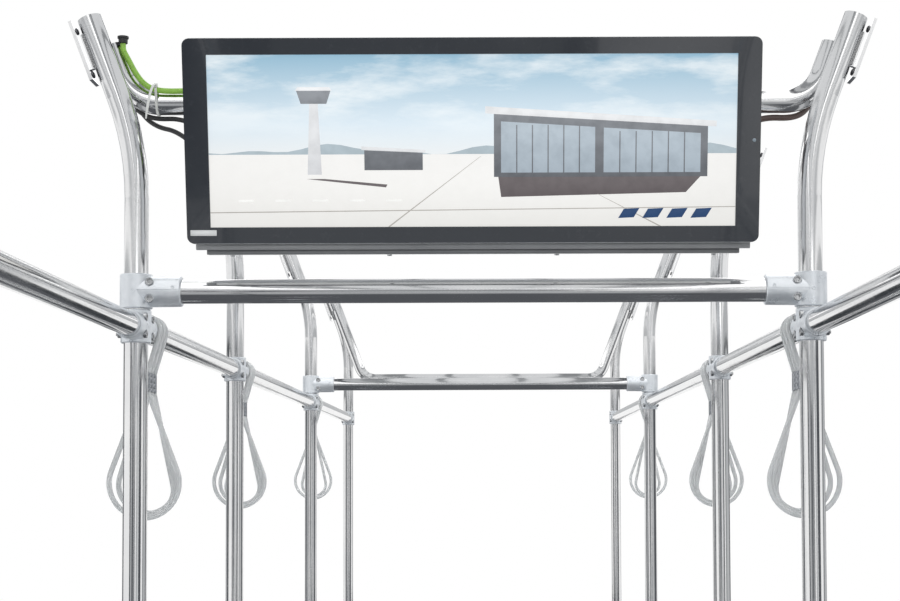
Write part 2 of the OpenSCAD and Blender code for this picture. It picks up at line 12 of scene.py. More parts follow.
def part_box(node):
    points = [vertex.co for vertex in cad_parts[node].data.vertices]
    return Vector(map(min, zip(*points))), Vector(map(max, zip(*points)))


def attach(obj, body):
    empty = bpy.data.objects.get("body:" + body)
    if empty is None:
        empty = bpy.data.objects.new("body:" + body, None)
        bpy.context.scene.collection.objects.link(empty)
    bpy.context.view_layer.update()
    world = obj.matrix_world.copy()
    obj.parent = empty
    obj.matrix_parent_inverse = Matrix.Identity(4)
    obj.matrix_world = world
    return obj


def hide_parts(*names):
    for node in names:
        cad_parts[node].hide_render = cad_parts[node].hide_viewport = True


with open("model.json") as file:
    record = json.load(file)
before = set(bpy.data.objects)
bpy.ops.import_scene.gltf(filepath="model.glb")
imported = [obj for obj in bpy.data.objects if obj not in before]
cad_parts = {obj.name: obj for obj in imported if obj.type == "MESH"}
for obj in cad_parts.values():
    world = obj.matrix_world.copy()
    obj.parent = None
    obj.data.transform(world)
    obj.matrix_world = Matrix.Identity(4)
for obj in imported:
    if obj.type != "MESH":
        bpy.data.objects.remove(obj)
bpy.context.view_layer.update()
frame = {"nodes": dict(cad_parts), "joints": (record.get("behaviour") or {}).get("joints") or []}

# Sizes that the solids share with the pieces made here
TUBE_R = 0.0175
CORD_R = 0.004
CORD_GAP = 0.0003
STRAND_X = 0.0042
STRAND_BITE = 0.0006
FERRULE_LEN = 0.030
FERRULE_W = 0.017
FERRULE_T = 0.0105
WRAP_ANGLE = math.asin(0.28)
WRAP_R = TUBE_R + CORD_GAP + CORD_R
GRIP_KINDS = [
    (0.052, math.asin(0.352)),
    (0.043, math.asin(0.28)),
    (0.0345, math.asin(0.28) - math.asin(0.07584)),
]
LEAN = math.asin(0.352)
CLAMP_SCREW_X = 0.023
CLAMP_SCREW_Z = 0.0126
TEE_R = 0.0235
CROSS_R = 0.022
CLAMP_SEAT_DEPTH = 0.0016
DISPLAY_TILT = math.radians(10.9)
DISPLAY_Y = -0.092
DISPLAY_Z = 2.092
DISPLAY_H = 0.284
HOUSING_W = 0.776
BEZEL_T = 0.008
SCREEN_W = 0.741
SCREEN_H = 0.239
SCREEN_RECESS = 0.0008
HOUSING_BACK = 0.062
GLAND_LEN = 0.014
GLAND_GAP = 0.0002
STRAIGHT_END = 0.012
HOOP_TOP = 2.262
HOOP_INSET = 0.0135
HOOP_OFFSET = 0.038
TAB_HOLES = (0.0115, 0.0365)
TAB_FACE = 0.016
POST_TOP = 2.294
PLATE_LEN = 0.092
PLATE_HOLE_PITCH = 0.068
PLATE_FACE = 0.0235
PLATE_WEB_T = 0.008
BEND_Z = 2.028
BEND_R = 0.425
ARM_X = 0.250
CLAMP_AXIS = (0.14373, 0.05888)
CLAMP_HALF = 0.007
CLAMP_BOLT_X = 0.014
CLAMP_BOLT_Z = 0.0347
ARM_FOOT_T = 0.0043
ARM_SCREW_X = 0.015
ARM_SCREW_Z = (-0.0977, 0.096)
CHANNEL_FOOT = 0.0168
GREEN_R = 0.0042
GREEN_GLAND = (-0.310, 0.030)
HOOP_BAR_Z = 2.1772


def node_centre(name):
    low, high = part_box(name)
    return (low + high) / 2


ROWS = [node_centre("post_left_%d" % n).y for n in range(1, 6)]
POST_X = -frame["joints"][0]["pos_m"][0]
RAIL_Z = frame["joints"][0]["pos_m"][2]
BAR_Z = node_centre("crossbar_rear").z
DISPLAY_ROW = ROWS[1]


# Mesh helpers


def link(name, data, *materials):
    """Puts an object in the scene, with its materials if it has any."""
    obj = bpy.data.objects.new(name, data)
    bpy.context.scene.collection.objects.link(obj)
    for material in materials:
        data.materials.append(material)
    return obj


def add_mesh(name, verts, faces, material, smooth=True):
    mesh = bpy.data.meshes.new(name)
    mesh.from_pydata([tuple(v) for v in verts], [], faces, shade_flat=not smooth)
    mesh.validate()
    mesh.update()
    return link(name, mesh, material)


def add_bmesh(name, bm, material, smooth_angle=40):
    bmesh.ops.recalc_face_normals(bm, faces=bm.faces[:])
    mesh = bpy.data.meshes.new(name)
    bm.to_mesh(mesh)
    bm.free()
    obj = link(name, mesh, material)
    smooth_by_angle(obj, smooth_angle)
    return obj


def smooth_by_angle(obj, degrees):
    """Smooth shading, with sharp edges where faces meet at more than the given angle."""
    mesh = obj.data
    for p in mesh.polygons:
        p.use_smooth = True
    bm = bmesh.new()
    bm.from_mesh(mesh)
    limit = math.radians(degrees)
    sharp = [e.index for e in bm.edges if len(e.link_faces) != 2 or e.calc_face_angle(0) > limit]
    bm.free()
    attribute = mesh.attributes.get("sharp_edge") or mesh.attributes.new("sharp_edge", "BOOLEAN", "EDGE")
    flags = [False] * len(mesh.edges)
    for i in sharp:
        flags[i] = True
    attribute.data.foreach_set("value", flags)


def directions(points):
    """Unit direction of a line at each of its points."""
    last = len(points) - 1
    return [(points[min(i + 1, last)] - points[max(i - 1, 0)]).normalized() for i in range(last + 1)]


def tube_faces(rings, around):
    """Faces of a tube of rings with so many vertices around each, capped at both ends."""
    faces = []
    for i in range(rings - 1):
        for k in range(around):
            m = (k + 1) % around
            faces.append((i * around + k, i * around + m, (i + 1) * around + m, (i + 1) * around + k))
    faces.append(tuple(reversed(range(around))))
    faces.append(tuple((rings - 1) * around + k for k in range(around)))
    return faces


def sweep(points, radius, sides, first_side=None):
    """Vertices and faces of a round closed tube along the points, without twist."""
    pts = [Vector(p) for p in points]
    tangents = directions(pts)
    side = Vector(first_side) if first_side else tangents[0].orthogonal()
    radii = radius if isinstance(radius, list) else [radius] * len(pts)
    verts = []
    for p, t, r in zip(pts, tangents, radii):
        side = (side - side.dot(t) * t).normalized()
        other = t.cross(side)
        for k in range(sides):
            a = 2 * math.pi * k / sides
            verts.append(p + r * (math.cos(a) * side + math.sin(a) * other))
    return verts, tube_faces(len(pts), sides)


def polygon(sides, radius):
    return [(radius * math.cos(2 * math.pi * k / sides), radius * math.sin(2 * math.pi * k / sides))
            for k in range(sides)]


def add_ring(bm, matrix, outline, z):
    """Adds the vertices of an outline of (x, y) points at height z of the matrix's frame."""
    return [bm.verts.new(matrix @ Vector((x, y, z))) for x, y in outline]


def bridge(bm, rings):
    """Joins each ring of vertices to the next by four-sided faces."""
    for low, high in zip(rings[:-1], rings[1:]):
        for k in range(len(low)):
            m = (k + 1) % len(low)
            bm.faces.new((low[k], low[m], high[m], high[k]))


def add_lathe(bm, profile, matrix, sides):
    """Adds a turned solid: profile is (radius, height) pairs from axis to axis, along local Z."""
    rings = [add_ring(bm, matrix, polygon(sides, r) if r else [(0, 0)], h) for r, h in profile]
    for low, high in zip(rings[:-1], rings[1:]):
        if len(low) == len(high):
            bridge(bm, [low, high])
            continue
        for k in range(sides):
            m = (k + 1) % sides
            bm.faces.new((low[0], high[k], high[m]) if len(low) == 1 else (low[k], high[0], low[m]))


def shrunk(outline, inset, centre=None):
    """Outline with each point moved towards a centre, which is its own middle if none is given."""
    cx, cy = centre or [sum(p[i] for p in outline) / len(outline) for i in (0, 1)]
    moved = []
    for x, y in outline:
        d = math.hypot(x - cx, y - cy)
        f = (d - inset) / d if d > 0 else 1
        moved.append((cx + (x - cx) * f, cy + (y - cy) * f))
    return moved


def add_prism(bm, outline, h0, h1, matrix, bevel=0.0):
    """Adds a straight solid over an outline, from height h0 to h1, with its far edge broken by bevel."""
    rings = [add_ring(bm, matrix, outline, h0)]
    if bevel:
        rings.append(add_ring(bm, matrix, outline, h1 - math.copysign(bevel, h1 - h0)))
    rings.append(add_ring(bm, matrix, shrunk(outline, bevel), h1))
    bridge(bm, rings)
    bm.faces.new(rings[0][::-1])
    bm.faces.new(rings[-1])


def aim(origin, direction, spin=0.0):
    """Matrix that puts local Z along direction at origin."""
    turn = Vector(direction).normalized().to_track_quat("Z", "Y").to_matrix().to_4x4()
    return Matrix.Translation(Vector(origin)) @ turn @ Matrix.Rotation(spin, 4, "Z")


def rounded(points, times):
    """Cuts a route's corners, as the solids' routes are cut."""
    pts = [Vector(p) for p in points]
    for _ in range(times):
        cut = [pts[0]]
        for a, b in zip(pts[:-1], pts[1:]):
            cut += [a.lerp(b, 0.25), a.lerp(b, 0.75)]
        pts = cut + [pts[-1]]
    return pts


def fix(piece):
    """Says that a piece stays with the structure."""
    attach(piece, "structure")


# Materials


class Nodes:
    """Short names for making a node tree, of a new material or of the owner that is given."""

    def __init__(self, name, owner=None):
        self.owner = owner or bpy.data.materials.new(name)
        self.owner.use_nodes = True
        self.tree = self.owner.node_tree
        self.coords = self.tree.nodes.new("ShaderNodeTexCoord").outputs["Object"]

    def feed(self, socket, value):
        """Links an output to a socket, or sets it; a colour of three numbers is made opaque."""
        if isinstance(value, bpy.types.NodeSocket):
            self.tree.links.new(value, socket)
        else:
            socket.default_value = (*value, 1) if socket.type == "RGBA" else value

    def add(self, kind, **values):
        node = self.tree.nodes.new("ShaderNode" + kind)
        for key, value in values.items():
            self.feed(node.inputs[key.replace("_", " ")], value)
        return node

    def dress(self, **values):
        """Sets or links the shader's sockets and gives back the material."""
        for key, value in values.items():
            self.feed(self.tree.nodes["Principled BSDF"].inputs[key.replace("_", " ")], value)
        return self.owner

    def mapped(self, scale):
        return self.add("Mapping", Scale=scale, Vector=self.coords).outputs["Vector"]

    def noise(self, scale, detail, roughness=0.5, coords=None):
        return self.add("TexNoise", Scale=scale, Detail=detail, Roughness=roughness,
                        Vector=coords or self.coords).outputs["Fac"]

    def voronoi(self, scale):
        return self.add("TexVoronoi", Scale=scale, Vector=self.coords).outputs["Distance"]

    def ranged(self, value, low, high, to_low, to_high):
        return self.add("MapRange", Value=value, From_Min=low, From_Max=high, To_Min=to_low,
                        To_Max=to_high).outputs["Result"]

    def math(self, kind, a, b):
        node = self.add("Math")
        node.operation = kind
        self.feed(node.inputs[0], a)
        self.feed(node.inputs[1], b)
        return node.outputs["Value"]

    def ramp(self, value, *stops):
        node = self.add("ValToRGB", Fac=value)
        while len(node.color_ramp.elements) < len(stops):
            node.color_ramp.elements.new(0.5)
        for element, (at, colour) in zip(node.color_ramp.elements, stops):
            element.position = at
            element.color = (*colour, 1)
        return node.outputs["Color"]

    def mix(self, factor, a, b):
        node = self.add("Mix", Factor=factor)
        node.data_type = "RGBA"
        self.feed(node.inputs[6], a)
        self.feed(node.inputs[7], b)
        return node.outputs[2]

    def bump(self, height, distance, strength, **normal):
        node = self.add("Bump", Height=height, Distance=distance, Strength=strength, **normal)
        return node.outputs["Normal"]


def darker(colour, share):
    return tuple(c * share for c in colour)


def tube_material(name, along):
    """Polished steel tube, with faint polishing lines along the tube and the haze of many hands."""
    n = Nodes(name)
    scale = [1300.0, 1300.0, 1300.0]
    scale[along] = 14.0
    lines = n.noise(1.0, 2.0, coords=n.mapped(scale))
    haze = n.noise(5.5, 5.0, 0.62)
    prints = n.noise(60.0, 3.0, 0.6)
    dull = n.math("ADD", n.ranged(haze, 0.38, 0.72, 0.055, 0.15), n.ranged(prints, 0.55, 0.75, 0.0, 0.06))
    waves = n.bump(n.noise(9.0, 1.0), 0.0003, 0.1)
    return n.dress(Metallic=1.0,
                   Base_Color=n.ramp(haze, (0.3, (0.73, 0.735, 0.745)), (0.7, (0.83, 0.83, 0.83))),
                   Roughness=n.math("ADD", dull, n.ranged(lines, 0.3, 0.7, 0.0, 0.025)),
                   Normal=n.bump(lines, 0.000002, 0.3, Normal=waves))


def cast_material(name):
    """Satin cast fitting: fine cast grain, softly polished, duller in places."""
    n = Nodes(name)
    grain = n.noise(900.0, 4.0, 0.6)
    cloud = n.noise(38.0, 4.0, 0.6)
    rough = n.math("ADD", n.ranged(cloud, 0.3, 0.7, 0.24, 0.36), n.ranged(grain, 0.4, 0.7, 0.0, 0.08))
    return n.dress(Metallic=0.7, Roughness=rough,
                   Base_Color=n.ramp(cloud, (0.3, (0.74, 0.775, 0.81)), (0.7, (0.87, 0.895, 0.92))),
                   Normal=n.bump(n.voronoi(520.0), 0.00006, 0.35, Normal=n.bump(grain, 0.00005, 0.5)))


def steel_material(name, colour, low_rough, high_rough):
    """Plated small fastener or pressed sleeve."""
    n = Nodes(name)
    cloud = n.noise(240.0, 4.0, 0.6)
    return n.dress(Metallic=1.0, Base_Color=n.ramp(cloud, (0.3, darker(colour, 0.8)), (0.65, colour)),
                   Roughness=n.ranged(cloud, 0.3, 0.7, low_rough, high_rough),
                   Normal=n.bump(n.noise(1400.0, 2.0), 0.00002, 0.4))


def painted_material(name, colour, rough, peel=0.00004, metallic=0.0, coat=0.0):
    """Powder-coated or moulded surface with its fine grain, a little uneven in colour."""
    n = Nodes(name)
    cloud = n.noise(14.0, 4.0, 0.6)
    grain = n.noise(1100.0, 3.0, 0.55)
    uneven = n.ranged(cloud, 0.3, 0.7, rough - 0.05, rough + 0.05)
    return n.dress(Metallic=metallic, Coat_Weight=coat, Coat_Roughness=0.08,
                   Base_Color=n.ramp(cloud, (0.3, darker(colour, 0.88)), (0.7, colour)),
                   Roughness=n.math("ADD", uneven, n.ranged(grain, 0.4, 0.7, 0.0, 0.05)),
                   Normal=n.bump(grain, peel, 0.5))


def bezel_material(name):
    """Glossy near-black glass frame with a thin film of dust."""
    n = Nodes(name)
    dust = n.ranged(n.noise(90.0, 6.0, 0.7), 0.55, 0.8, 0.0, 0.12)
    smear = n.noise(9.0, 4.0, 0.6)
    return n.dress(Coat_Weight=0.6, Coat_Roughness=0.03, IOR=1.52,
                   Base_Color=n.mix(dust, (0.029, 0.033, 0.040), (0.13, 0.135, 0.145)),
                   Roughness=n.ranged(smear, 0.3, 0.7, 0.06, 0.2), Normal=n.bump(smear, 0.0002, 0.05))


def cable_material(name, colour, rough):
    """Cable sheath: drawn plastic with faint lines and dust."""
    n = Nodes(name)
    cloud = n.noise(160.0, 4.0, 0.6)
    return n.dress(Base_Color=n.ramp(cloud, (0.3, darker(colour, 0.75)), (0.7, colour)),
                   Roughness=n.ranged(cloud, 0.3, 0.7, rough - 0.08, rough + 0.08),
                   Normal=n.bump(n.noise(700.0, 2.0), 0.00004, 0.4))


def coat_material(name):
    """Clear, slightly milky plastic round the loops' rope."""
    n = Nodes(name)
    cloud = n.noise(70.0, 4.0, 0.6)
    return n.dress(IOR=1.5, Transmission_Weight=0.65,
                   Base_Color=n.ramp(cloud, (0.3, (0.95, 0.97, 0.97)), (0.7, (1.0, 1.0, 1.0))),
                   Roughness=n.ranged(cloud, 0.3, 0.7, 0.05, 0.16),
                   Normal=n.bump(n.noise(420.0, 2.0), 0.00004, 0.3))


def rope_material(name):
    """Laid rope inside the coat: white, with painted shade that makes it slightly darker where its fine bump
    dips, standing in for the shade in the gaps between its strands.
    """
    n = Nodes(name)
    strands = n.noise(900.0, 2.0)
    # Base colour follows the same noise as the bump: painted shade, darker in the bump's dips
    return n.dress(Base_Color=n.ramp(strands, (0.35, (0.90, 0.92, 0.92)), (0.6, (1.0, 1.0, 1.0))),
                   Roughness=n.ranged(strands, 0.3, 0.7, 0.25, 0.45), Normal=n.bump(strands, 0.0002, 0.6))


def lit_material(name, make_colour):
    """A part of the display's picture: the colour both shines and shows under the lamps."""
    glow, black_share = 0.8, 0.72
    n = Nodes(name)
    colour = make_colour(n)
    return n.dress(Roughness=0.75, Emission_Strength=glow, Emission_Color=colour,
                   Base_Color=n.mix(black_share, colour, (0.0, 0.0, 0.0)))


MATERIALS = {
    "tube_z": tube_material("polished_tube_upright", 2),
    "tube_y": tube_material("polished_tube_lengthwise", 1),
    "tube_x": tube_material("polished_tube_crosswise", 0),
    "cast": cast_material("satin_cast"),
    "steel": steel_material("plated_steel", (0.58, 0.59, 0.6), 0.16, 0.32),
    "dark_steel": steel_material("dark_screw", (0.16, 0.16, 0.17), 0.25, 0.4),
    "weld": steel_material("weld_bead", (0.50, 0.50, 0.5), 0.28, 0.45),
    "sleeve": steel_material("pressed_sleeve", (0.46, 0.48, 0.51), 0.10, 0.2),
    "bezel": bezel_material("display_frame_gloss"),
    "housing": painted_material("housing_silver", (0.74, 0.75, 0.76), 0.36, metallic=0.3),
    "dark_metal": painted_material("dark_powder_coat", (0.10, 0.10, 0.11), 0.5, 0.0001),
    "foot_rail": painted_material("foot_rail_grey", (0.34, 0.345, 0.35), 0.4, metallic=0.3),
    "foot_channel": painted_material("foot_channel_grey", (0.22, 0.225, 0.23), 0.45, metallic=0.3),
    "black": painted_material("black_moulding", (0.03, 0.03, 0.032), 0.5, 0.00006),
    "green": cable_material("green_sheath", (0.33, 0.62, 0.08), 0.42),
    "black_cable": cable_material("black_sheath", (0.035, 0.035, 0.037), 0.5),
    "brown_cable": cable_material("brown_sheath", (0.11, 0.075, 0.065), 0.36),
    "tie": painted_material("white_nylon", (0.78, 0.78, 0.74), 0.45, 0.00003),
    "coat": coat_material("clear_coat_tube"),
    "rope": rope_material("laid_rope_with_painted_shade"),
    "label": painted_material("blank_label", (0.86, 0.86, 0.84), 0.4, 0.00002),
    "lens": painted_material("lamp_lens", (0.25, 0.3, 0.34), 0.15, 0.00001, coat=0.8),
}
CAD_MATERIALS = [
    ("post_", "tube_z"), ("rail_", "tube_y"), ("crossbar_", "tube_x"), ("hoop_", "tube_x"),
    ("floor_", "cast"), ("tee_", "cast"), ("cross_", "cast"),
    ("display_bezel", "bezel"), ("display_screen", "black"), ("display_housing", "housing"),
    ("display_channel", "housing"), ("display_arms", "dark_metal"), ("display_clamp", "dark_metal"),
    ("display_glands", "black"), ("ceiling_bushes", "black"), ("cable", "black_cable"), ("loop_", "coat"),
]


def dress_solids():
    for name, obj in frame["nodes"].items():
        key = next(k for start, k in CAD_MATERIALS if name.startswith(start))
        obj.data.materials.clear()
        obj.data.materials.append(MATERIALS[key])


# Camera, floor and light


CAMERA_PLACE = (0.019, -3.6815, 1.620)
CAMERA_PITCH = math.radians(2.5)
CAMERA_ROLL = math.radians(-0.2)
CAMERA_LENS = 64.8
CAMERA_SHIFT = (-0.0411, 0.1187)
FLOOR_HALF = 5.5


def make_camera():
    camera = link("camera", bpy.data.cameras.new("camera"))
    camera.location = CAMERA_PLACE
    camera.rotation_mode = "QUATERNION"
    camera.rotation_quaternion = (Matrix.Rotation(math.pi / 2 + CAMERA_PITCH, 3, "X") @
                                  Matrix.Rotation(CAMERA_ROLL, 3, "Z")).to_quaternion()
    camera.data.sensor_width = 36
    camera.data.lens = CAMERA_LENS
    camera.data.shift_x, camera.data.shift_y = CAMERA_SHIFT
    camera.data.clip_start = 0.05
    camera.data.clip_end = 200
    bpy.context.scene.camera = camera


def make_stage():
    pale = Nodes("floor_pale").dress(Base_Color=(0.8, 0.8, 0.8), Roughness=0.7, Specular_IOR_Level=0.0)
    corners = level_quad(-FLOOR_HALF, FLOOR_HALF, -FLOOR_HALF, FLOOR_HALF, 0.0)
    add_mesh("floor", corners, [(0, 1, 2, 3)], pale)


def cards(name, quads, shade, seen_by="metal"):
    """Flat cards that only reflections or clear plastic see, so that polished tubes have a bus to mirror."""
    lit = Nodes(name).dress(Base_Color=(0, 0, 0), Roughness=1.0, Emission_Color=[min(c, 1.0) for c in shade],
                            Emission_Strength=max(1.0, *shade))
    verts = [corner for quad in quads for corner in quad]
    faces = [tuple(range(4 * k, 4 * k + 4)) for k in range(len(quads))]
    card = add_mesh(name, verts, faces, lit, smooth=False)
    card.visible_camera = False
    card.visible_diffuse = False
    card.visible_shadow = False
    card.visible_glossy = seen_by == "metal"
    card.visible_transmission = seen_by == "plastic"
    card.visible_volume_scatter = False


def wall_quad(x, y0, y1, z0, z1):
    return [(x, y0, z0), (x, y1, z0), (x, y1, z1), (x, y0, z1)]


def level_quad(x0, x1, y0, y1, z):
    return [(x0, y0, z), (x1, y0, z), (x1, y1, z), (x0, y1, z)]


def end_quad(x0, x1, y, z0, z1):
    return [(x0, y, z0), (x1, y, z0), (x1, y, z1), (x0, y, z1)]


def stretches(start, ends):
    """From, to and shade of each of a run of stretches, given as where it ends and its shade."""
    return [(a, b, shade) for a, (b, shade) in zip([start] + [end for end, _ in ends], ends)]


BLACK, DARK, DIM = (0.04, 0.045, 0.05), (0.09, 0.095, 0.105), (0.28, 0.29, 0.30)
MIDDLE, PALE, WHITE = (0.52, 0.53, 0.54), (0.76, 0.77, 0.78), (1.0, 1.0, 1.0)
LAMP = (1.6, 1.6, 1.6)
# The reflected bus: distance of its side walls from the middle, its ends, heights of sill, head and ceiling
WALL_X, BACK_Y, FRONT_Y = 1.75, -6.2, 5.6
SILL_Z, HEAD_Z, ROOF_Z, WALL_TOP = 0.98, 1.98, 2.60, 2.62
# Where each stretch of pane or panel ends, towards the front, the top or the right, and its shade
LEFT_PANES = [(-4.6, DIM), (-3.6, MIDDLE), (-2.85, DARK), (-0.75, WHITE), (0.0, DARK), (0.7, MIDDLE),
              (1.7, DARK), (3.4, WHITE), (4.0, DARK), (FRONT_Y, MIDDLE)]
RIGHT_PANES = [(-4.4, MIDDLE), (-3.6, PALE), (-2.2, DARK), (-1.45, WHITE), (-1.0, DIM), (0.2, MIDDLE),
               (1.6, DARK), (3.4, WHITE), (4.0, DARK), (FRONT_Y, MIDDLE)]
LOW_PANELS = [(0.55, MIDDLE), (0.9, DIM), (SILL_Z, BLACK)]
HEADERS = [(HEAD_Z + 0.03, BLACK), (2.13, MIDDLE), (2.26, WHITE), (2.42, MIDDLE), (WALL_TOP, PALE)]
BACK_PANES = [(-0.9, DARK), (0.35, DIM), (0.5, BLACK), (1.6, WHITE), (WALL_X, DARK)]
FLOOR_STRIPS = [(-4.9, MIDDLE), (-3.9, DIM), (FRONT_Y, DARK)]
CEILING_MIDDLE = [(-0.40, MIDDLE), (-0.31, DIM), (-0.15, PALE), (-0.12, DIM), (0.12, PALE), (0.15, DIM),
                  (0.31, PALE), (0.40, DIM), (0.46, MIDDLE)]
# Each side of the ceiling, outwards
CEILING_SIDE = [(0.50, DARK), (0.72, LAMP), (0.76, DARK), (0.95, WHITE), (1.2, MIDDLE), (1.24, DARK),
                (1.5, WHITE), (WALL_X, MIDDLE)]
# Panels across the ends of the bus: which end, from and to what height, shade
END_SILL_Z, END_HEAD_Z = 1.0, 1.95
END_PANELS = [(BACK_Y, 0.4, END_SILL_Z, MIDDLE), (BACK_Y, 0.0, 0.4, DIM),
              (BACK_Y, END_HEAD_Z, WALL_TOP, MIDDLE), (FRONT_Y, END_HEAD_Z, WALL_TOP, MIDDLE),
              (FRONT_Y, 0.0, 0.8, BLACK)]
FLOOR_CARD_Z = 0.006


def make_reflectors():
    """A plain bus body of cards: panels, panes, headers, ceiling with two rows of lamps, dark floor."""
    quads = {}

    def put(shade, quad):
        quads.setdefault(shade, []).append(quad)
    for x, panes in ((-WALL_X, LEFT_PANES), (WALL_X, RIGHT_PANES)):
        for y0, y1, shade in stretches(BACK_Y, panes):
            put(shade, wall_quad(x, y0, y1, SILL_Z, HEAD_Z))
        for z0, z1, shade in stretches(0.0, LOW_PANELS) + stretches(HEAD_Z, HEADERS):
            put(shade, wall_quad(x, BACK_Y, FRONT_Y, z0, z1))
    for x0, x1, shade in stretches(-WALL_X, BACK_PANES):
        put(shade, end_quad(x0, x1, BACK_Y, END_SILL_Z, END_HEAD_Z))
    for y, z0, z1, shade in END_PANELS:
        put(shade, end_quad(-WALL_X, WALL_X, y, z0, z1))
    for y0, y1, shade in stretches(BACK_Y, FLOOR_STRIPS):
        put(shade, level_quad(-WALL_X, WALL_X, y0, y1, FLOOR_CARD_Z))
    edge = CEILING_MIDDLE[-1][0]
    for x0, x1, shade in stretches(-edge, CEILING_MIDDLE):
        put(shade, level_quad(x0, x1, BACK_Y, FRONT_Y, ROOF_Z))
    for side in (-1, 1):
        for x0, x1, shade in stretches(edge, CEILING_SIDE):
            put(shade, level_quad(side * x0, side * x1, BACK_Y, FRONT_Y, ROOF_Z))
    for k, (shade, found) in enumerate(quads.items()):
        cards("card_%d" % k, found, shade)
    loops_y, loops_z = (-2.6, 2.4), (0.2, 2.5)
    sides = [wall_quad(side * (WALL_X + 0.1), *loops_y, *loops_z) for side in (-1, 1)]
    cards("card_dark_for_plastic", sides, (0.03, 0.032, 0.035), "plastic")


def area_lamp(name, location, target, width, height, watts, colour=(1, 1, 1)):
    data = bpy.data.lights.new(name, "AREA")
    data.shape = "RECTANGLE"
    data.size, data.size_y = width, height
    data.energy = watts
    data.color = colour
    lamp = link(name, data)
    lamp.location = location
    lamp.rotation_mode = "QUATERNION"
    lamp.rotation_quaternion = (Vector(target) - Vector(location)).to_track_quat("-Z", "Y")


def make_light():
    """White where the camera, reflections and clear plastic look, soft daylight and lamps elsewhere."""
    world = bpy.data.worlds.new("world")
    bpy.context.scene.world = world
    n = Nodes("world", world)
    path = n.add("LightPath").outputs
    seen = n.math("MAXIMUM", path["Is Camera Ray"], path["Is Glossy Ray"])
    mix = n.add("MixShader", Fac=n.math("MAXIMUM", seen, path["Is Transmission Ray"]))
    n.feed(mix.inputs[1], n.add("Background", Color=(0.93, 0.96, 1.0), Strength=0.8).outputs[0])
    n.feed(mix.inputs[2], n.add("Background", Color=(1, 1, 1), Strength=1.0).outputs[0])
    n.feed(n.tree.nodes["World Output"].inputs["Surface"], mix.outputs[0])
    for side, word in ((-1, "left"), (1, "right")):
        area_lamp("strip_" + word, (side * 1.25, 0.3, 3.1), (side * 0.2, 0.3, 1.6), 0.35, 7.0, watts=26)
        area_lamp("window_" + word, (side * 3.6, -1.2, 1.9), (0, -0.6, 1.7), 5.0, 1.6, watts=12,
                  colour=(0.95, 0.98, 1.0))
    area_lamp("behind", (0.3, -6.0, 3.2), (0, -1.3, 1.9), 3.0, 1.6, watts=24)


# Cables, as x, y from the second pair of posts, z, in millimetres, from ceiling to display

GREEN = [[-516, 20.5, 2262], [-516, 20.5, 2252], [-509, 21, 2240], [-500, 22, 2222], [-489, 22, 2206],
         [-475, 20, 2195], [-455, 19, 2190.5], [-420, 19, 2191], [-350, 17, 2193], [-322, 12, 2193],
         [-306, 2, 2186]]
BLACK_LOW = [[-532, 67, 2262], [-532, 67, 2252], [-524, 67, 2234], [-514, 67, 2204], [-497, 66, 2166],
             [-472, 54, 2145], [-440, 40, 2136], [-404, 22, 2106], [-368, 18, 2078]]
BLACK_HIGH = [[-550, 67, 2262], [-550, 67, 2252], [-541, 63, 2236], [-524, 60.5, 2202], [-504, 56, 2171],
              [-476, 44, 2154.5], [-430, 38, 2154.5], [-392, 28, 2130], [-362, 14, 2106]]
BLACK_RIGHT = [[536, 67, 2262], [536, 67, 2252], [527, 65, 2236], [516, 63, 2204], [500, 58, 2169],
               [476, 45, 2153], [430, 38, 2153.5], [390, 26, 2134], [356, 16, 2104]]
# Name, route, gland's x and z on the housing's back, cable's radius, material
CABLES = [
    ("cable_green", GREEN, *GREEN_GLAND, GREEN_R, "green"),
    ("cable_black_low", BLACK_LOW, -0.350, -0.040, 0.0035, "black_cable"),
    ("cable_black_high", BLACK_HIGH, -0.350, -0.010, 0.0035, "black_cable"),
    ("cable_black_right", BLACK_RIGHT, 0.340, -0.010, 0.0045, "brown_cable"),
]


def in_display(x, y, z):
    """Point of the display's own frame: x across, y back from the front face, z up along the display."""
    c, s = math.cos(DISPLAY_TILT), math.sin(DISPLAY_TILT)
    return Vector((x, DISPLAY_ROW + DISPLAY_Y + y * c - z * s, DISPLAY_Z + y * s + z * c))


DISPLAY = Matrix.Translation(in_display(0, 0, 0)) @ Matrix.Rotation(DISPLAY_TILT, 4, "X")
DISPLAY_REAR = DISPLAY.to_3x3() @ Vector((0, 1, 0))
DISPLAY_UP = DISPLAY.to_3x3() @ Vector((0, 0, 1))


def cable_line(route, gland_x, gland_z):
    points = [Vector((x / 1000, DISPLAY_ROW + y / 1000, z / 1000)) for x, y, z in route]
    points += [in_display(gland_x, HOUSING_BACK + GLAND_LEN + out, gland_z)
               for out in (STRAIGHT_END, GLAND_GAP)]
    return rounded(points, 4)


def make_bush(name, end, radius):
    """Rubber bush in the ceiling, with a rolled lip round the cable."""
    neck, flange, wall, gap, lip = 0.007, 0.0035, 0.0025, 0.0002, 0.0006
    outer, wide = radius + wall, radius + 2 * wall - 0.001
    bm = bmesh.new()
    add_lathe(bm, [(0, 0.0), (radius + 0.0008, 0.0), (outer - lip, 0.0), (outer, lip), (outer, neck),
                   (wide - lip, neck), (wide, neck + lip), (wide, neck + flange), (0, neck + flange)],
              Matrix.Translation(end + Vector((0, 0, gap))), 28)
    bush = add_bmesh(name, bm, MATERIALS["black"])
    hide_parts("ceiling_bushes")
    fix(bush)
    return bush


def make_cables():
    for name, route, gland_x, gland_z, radius, material in CABLES:
        line = list(reversed(cable_line(route, gland_x, gland_z)))
        bush = make_bush(name + "_bush", line[-1], radius)
        verts, faces = sweep(line, radius, 18)
        piece = add_mesh(name + "_sheath", verts, faces, MATERIALS[material])
        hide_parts(name)
        fix(piece)


# Grab loops

ROPE_R = CORD_R * 0.62
ROPE_STEP = 0.0022


def strand_length(r, angle):
    return (r * math.cos(angle) - STRAND_X) / math.sin(angle)


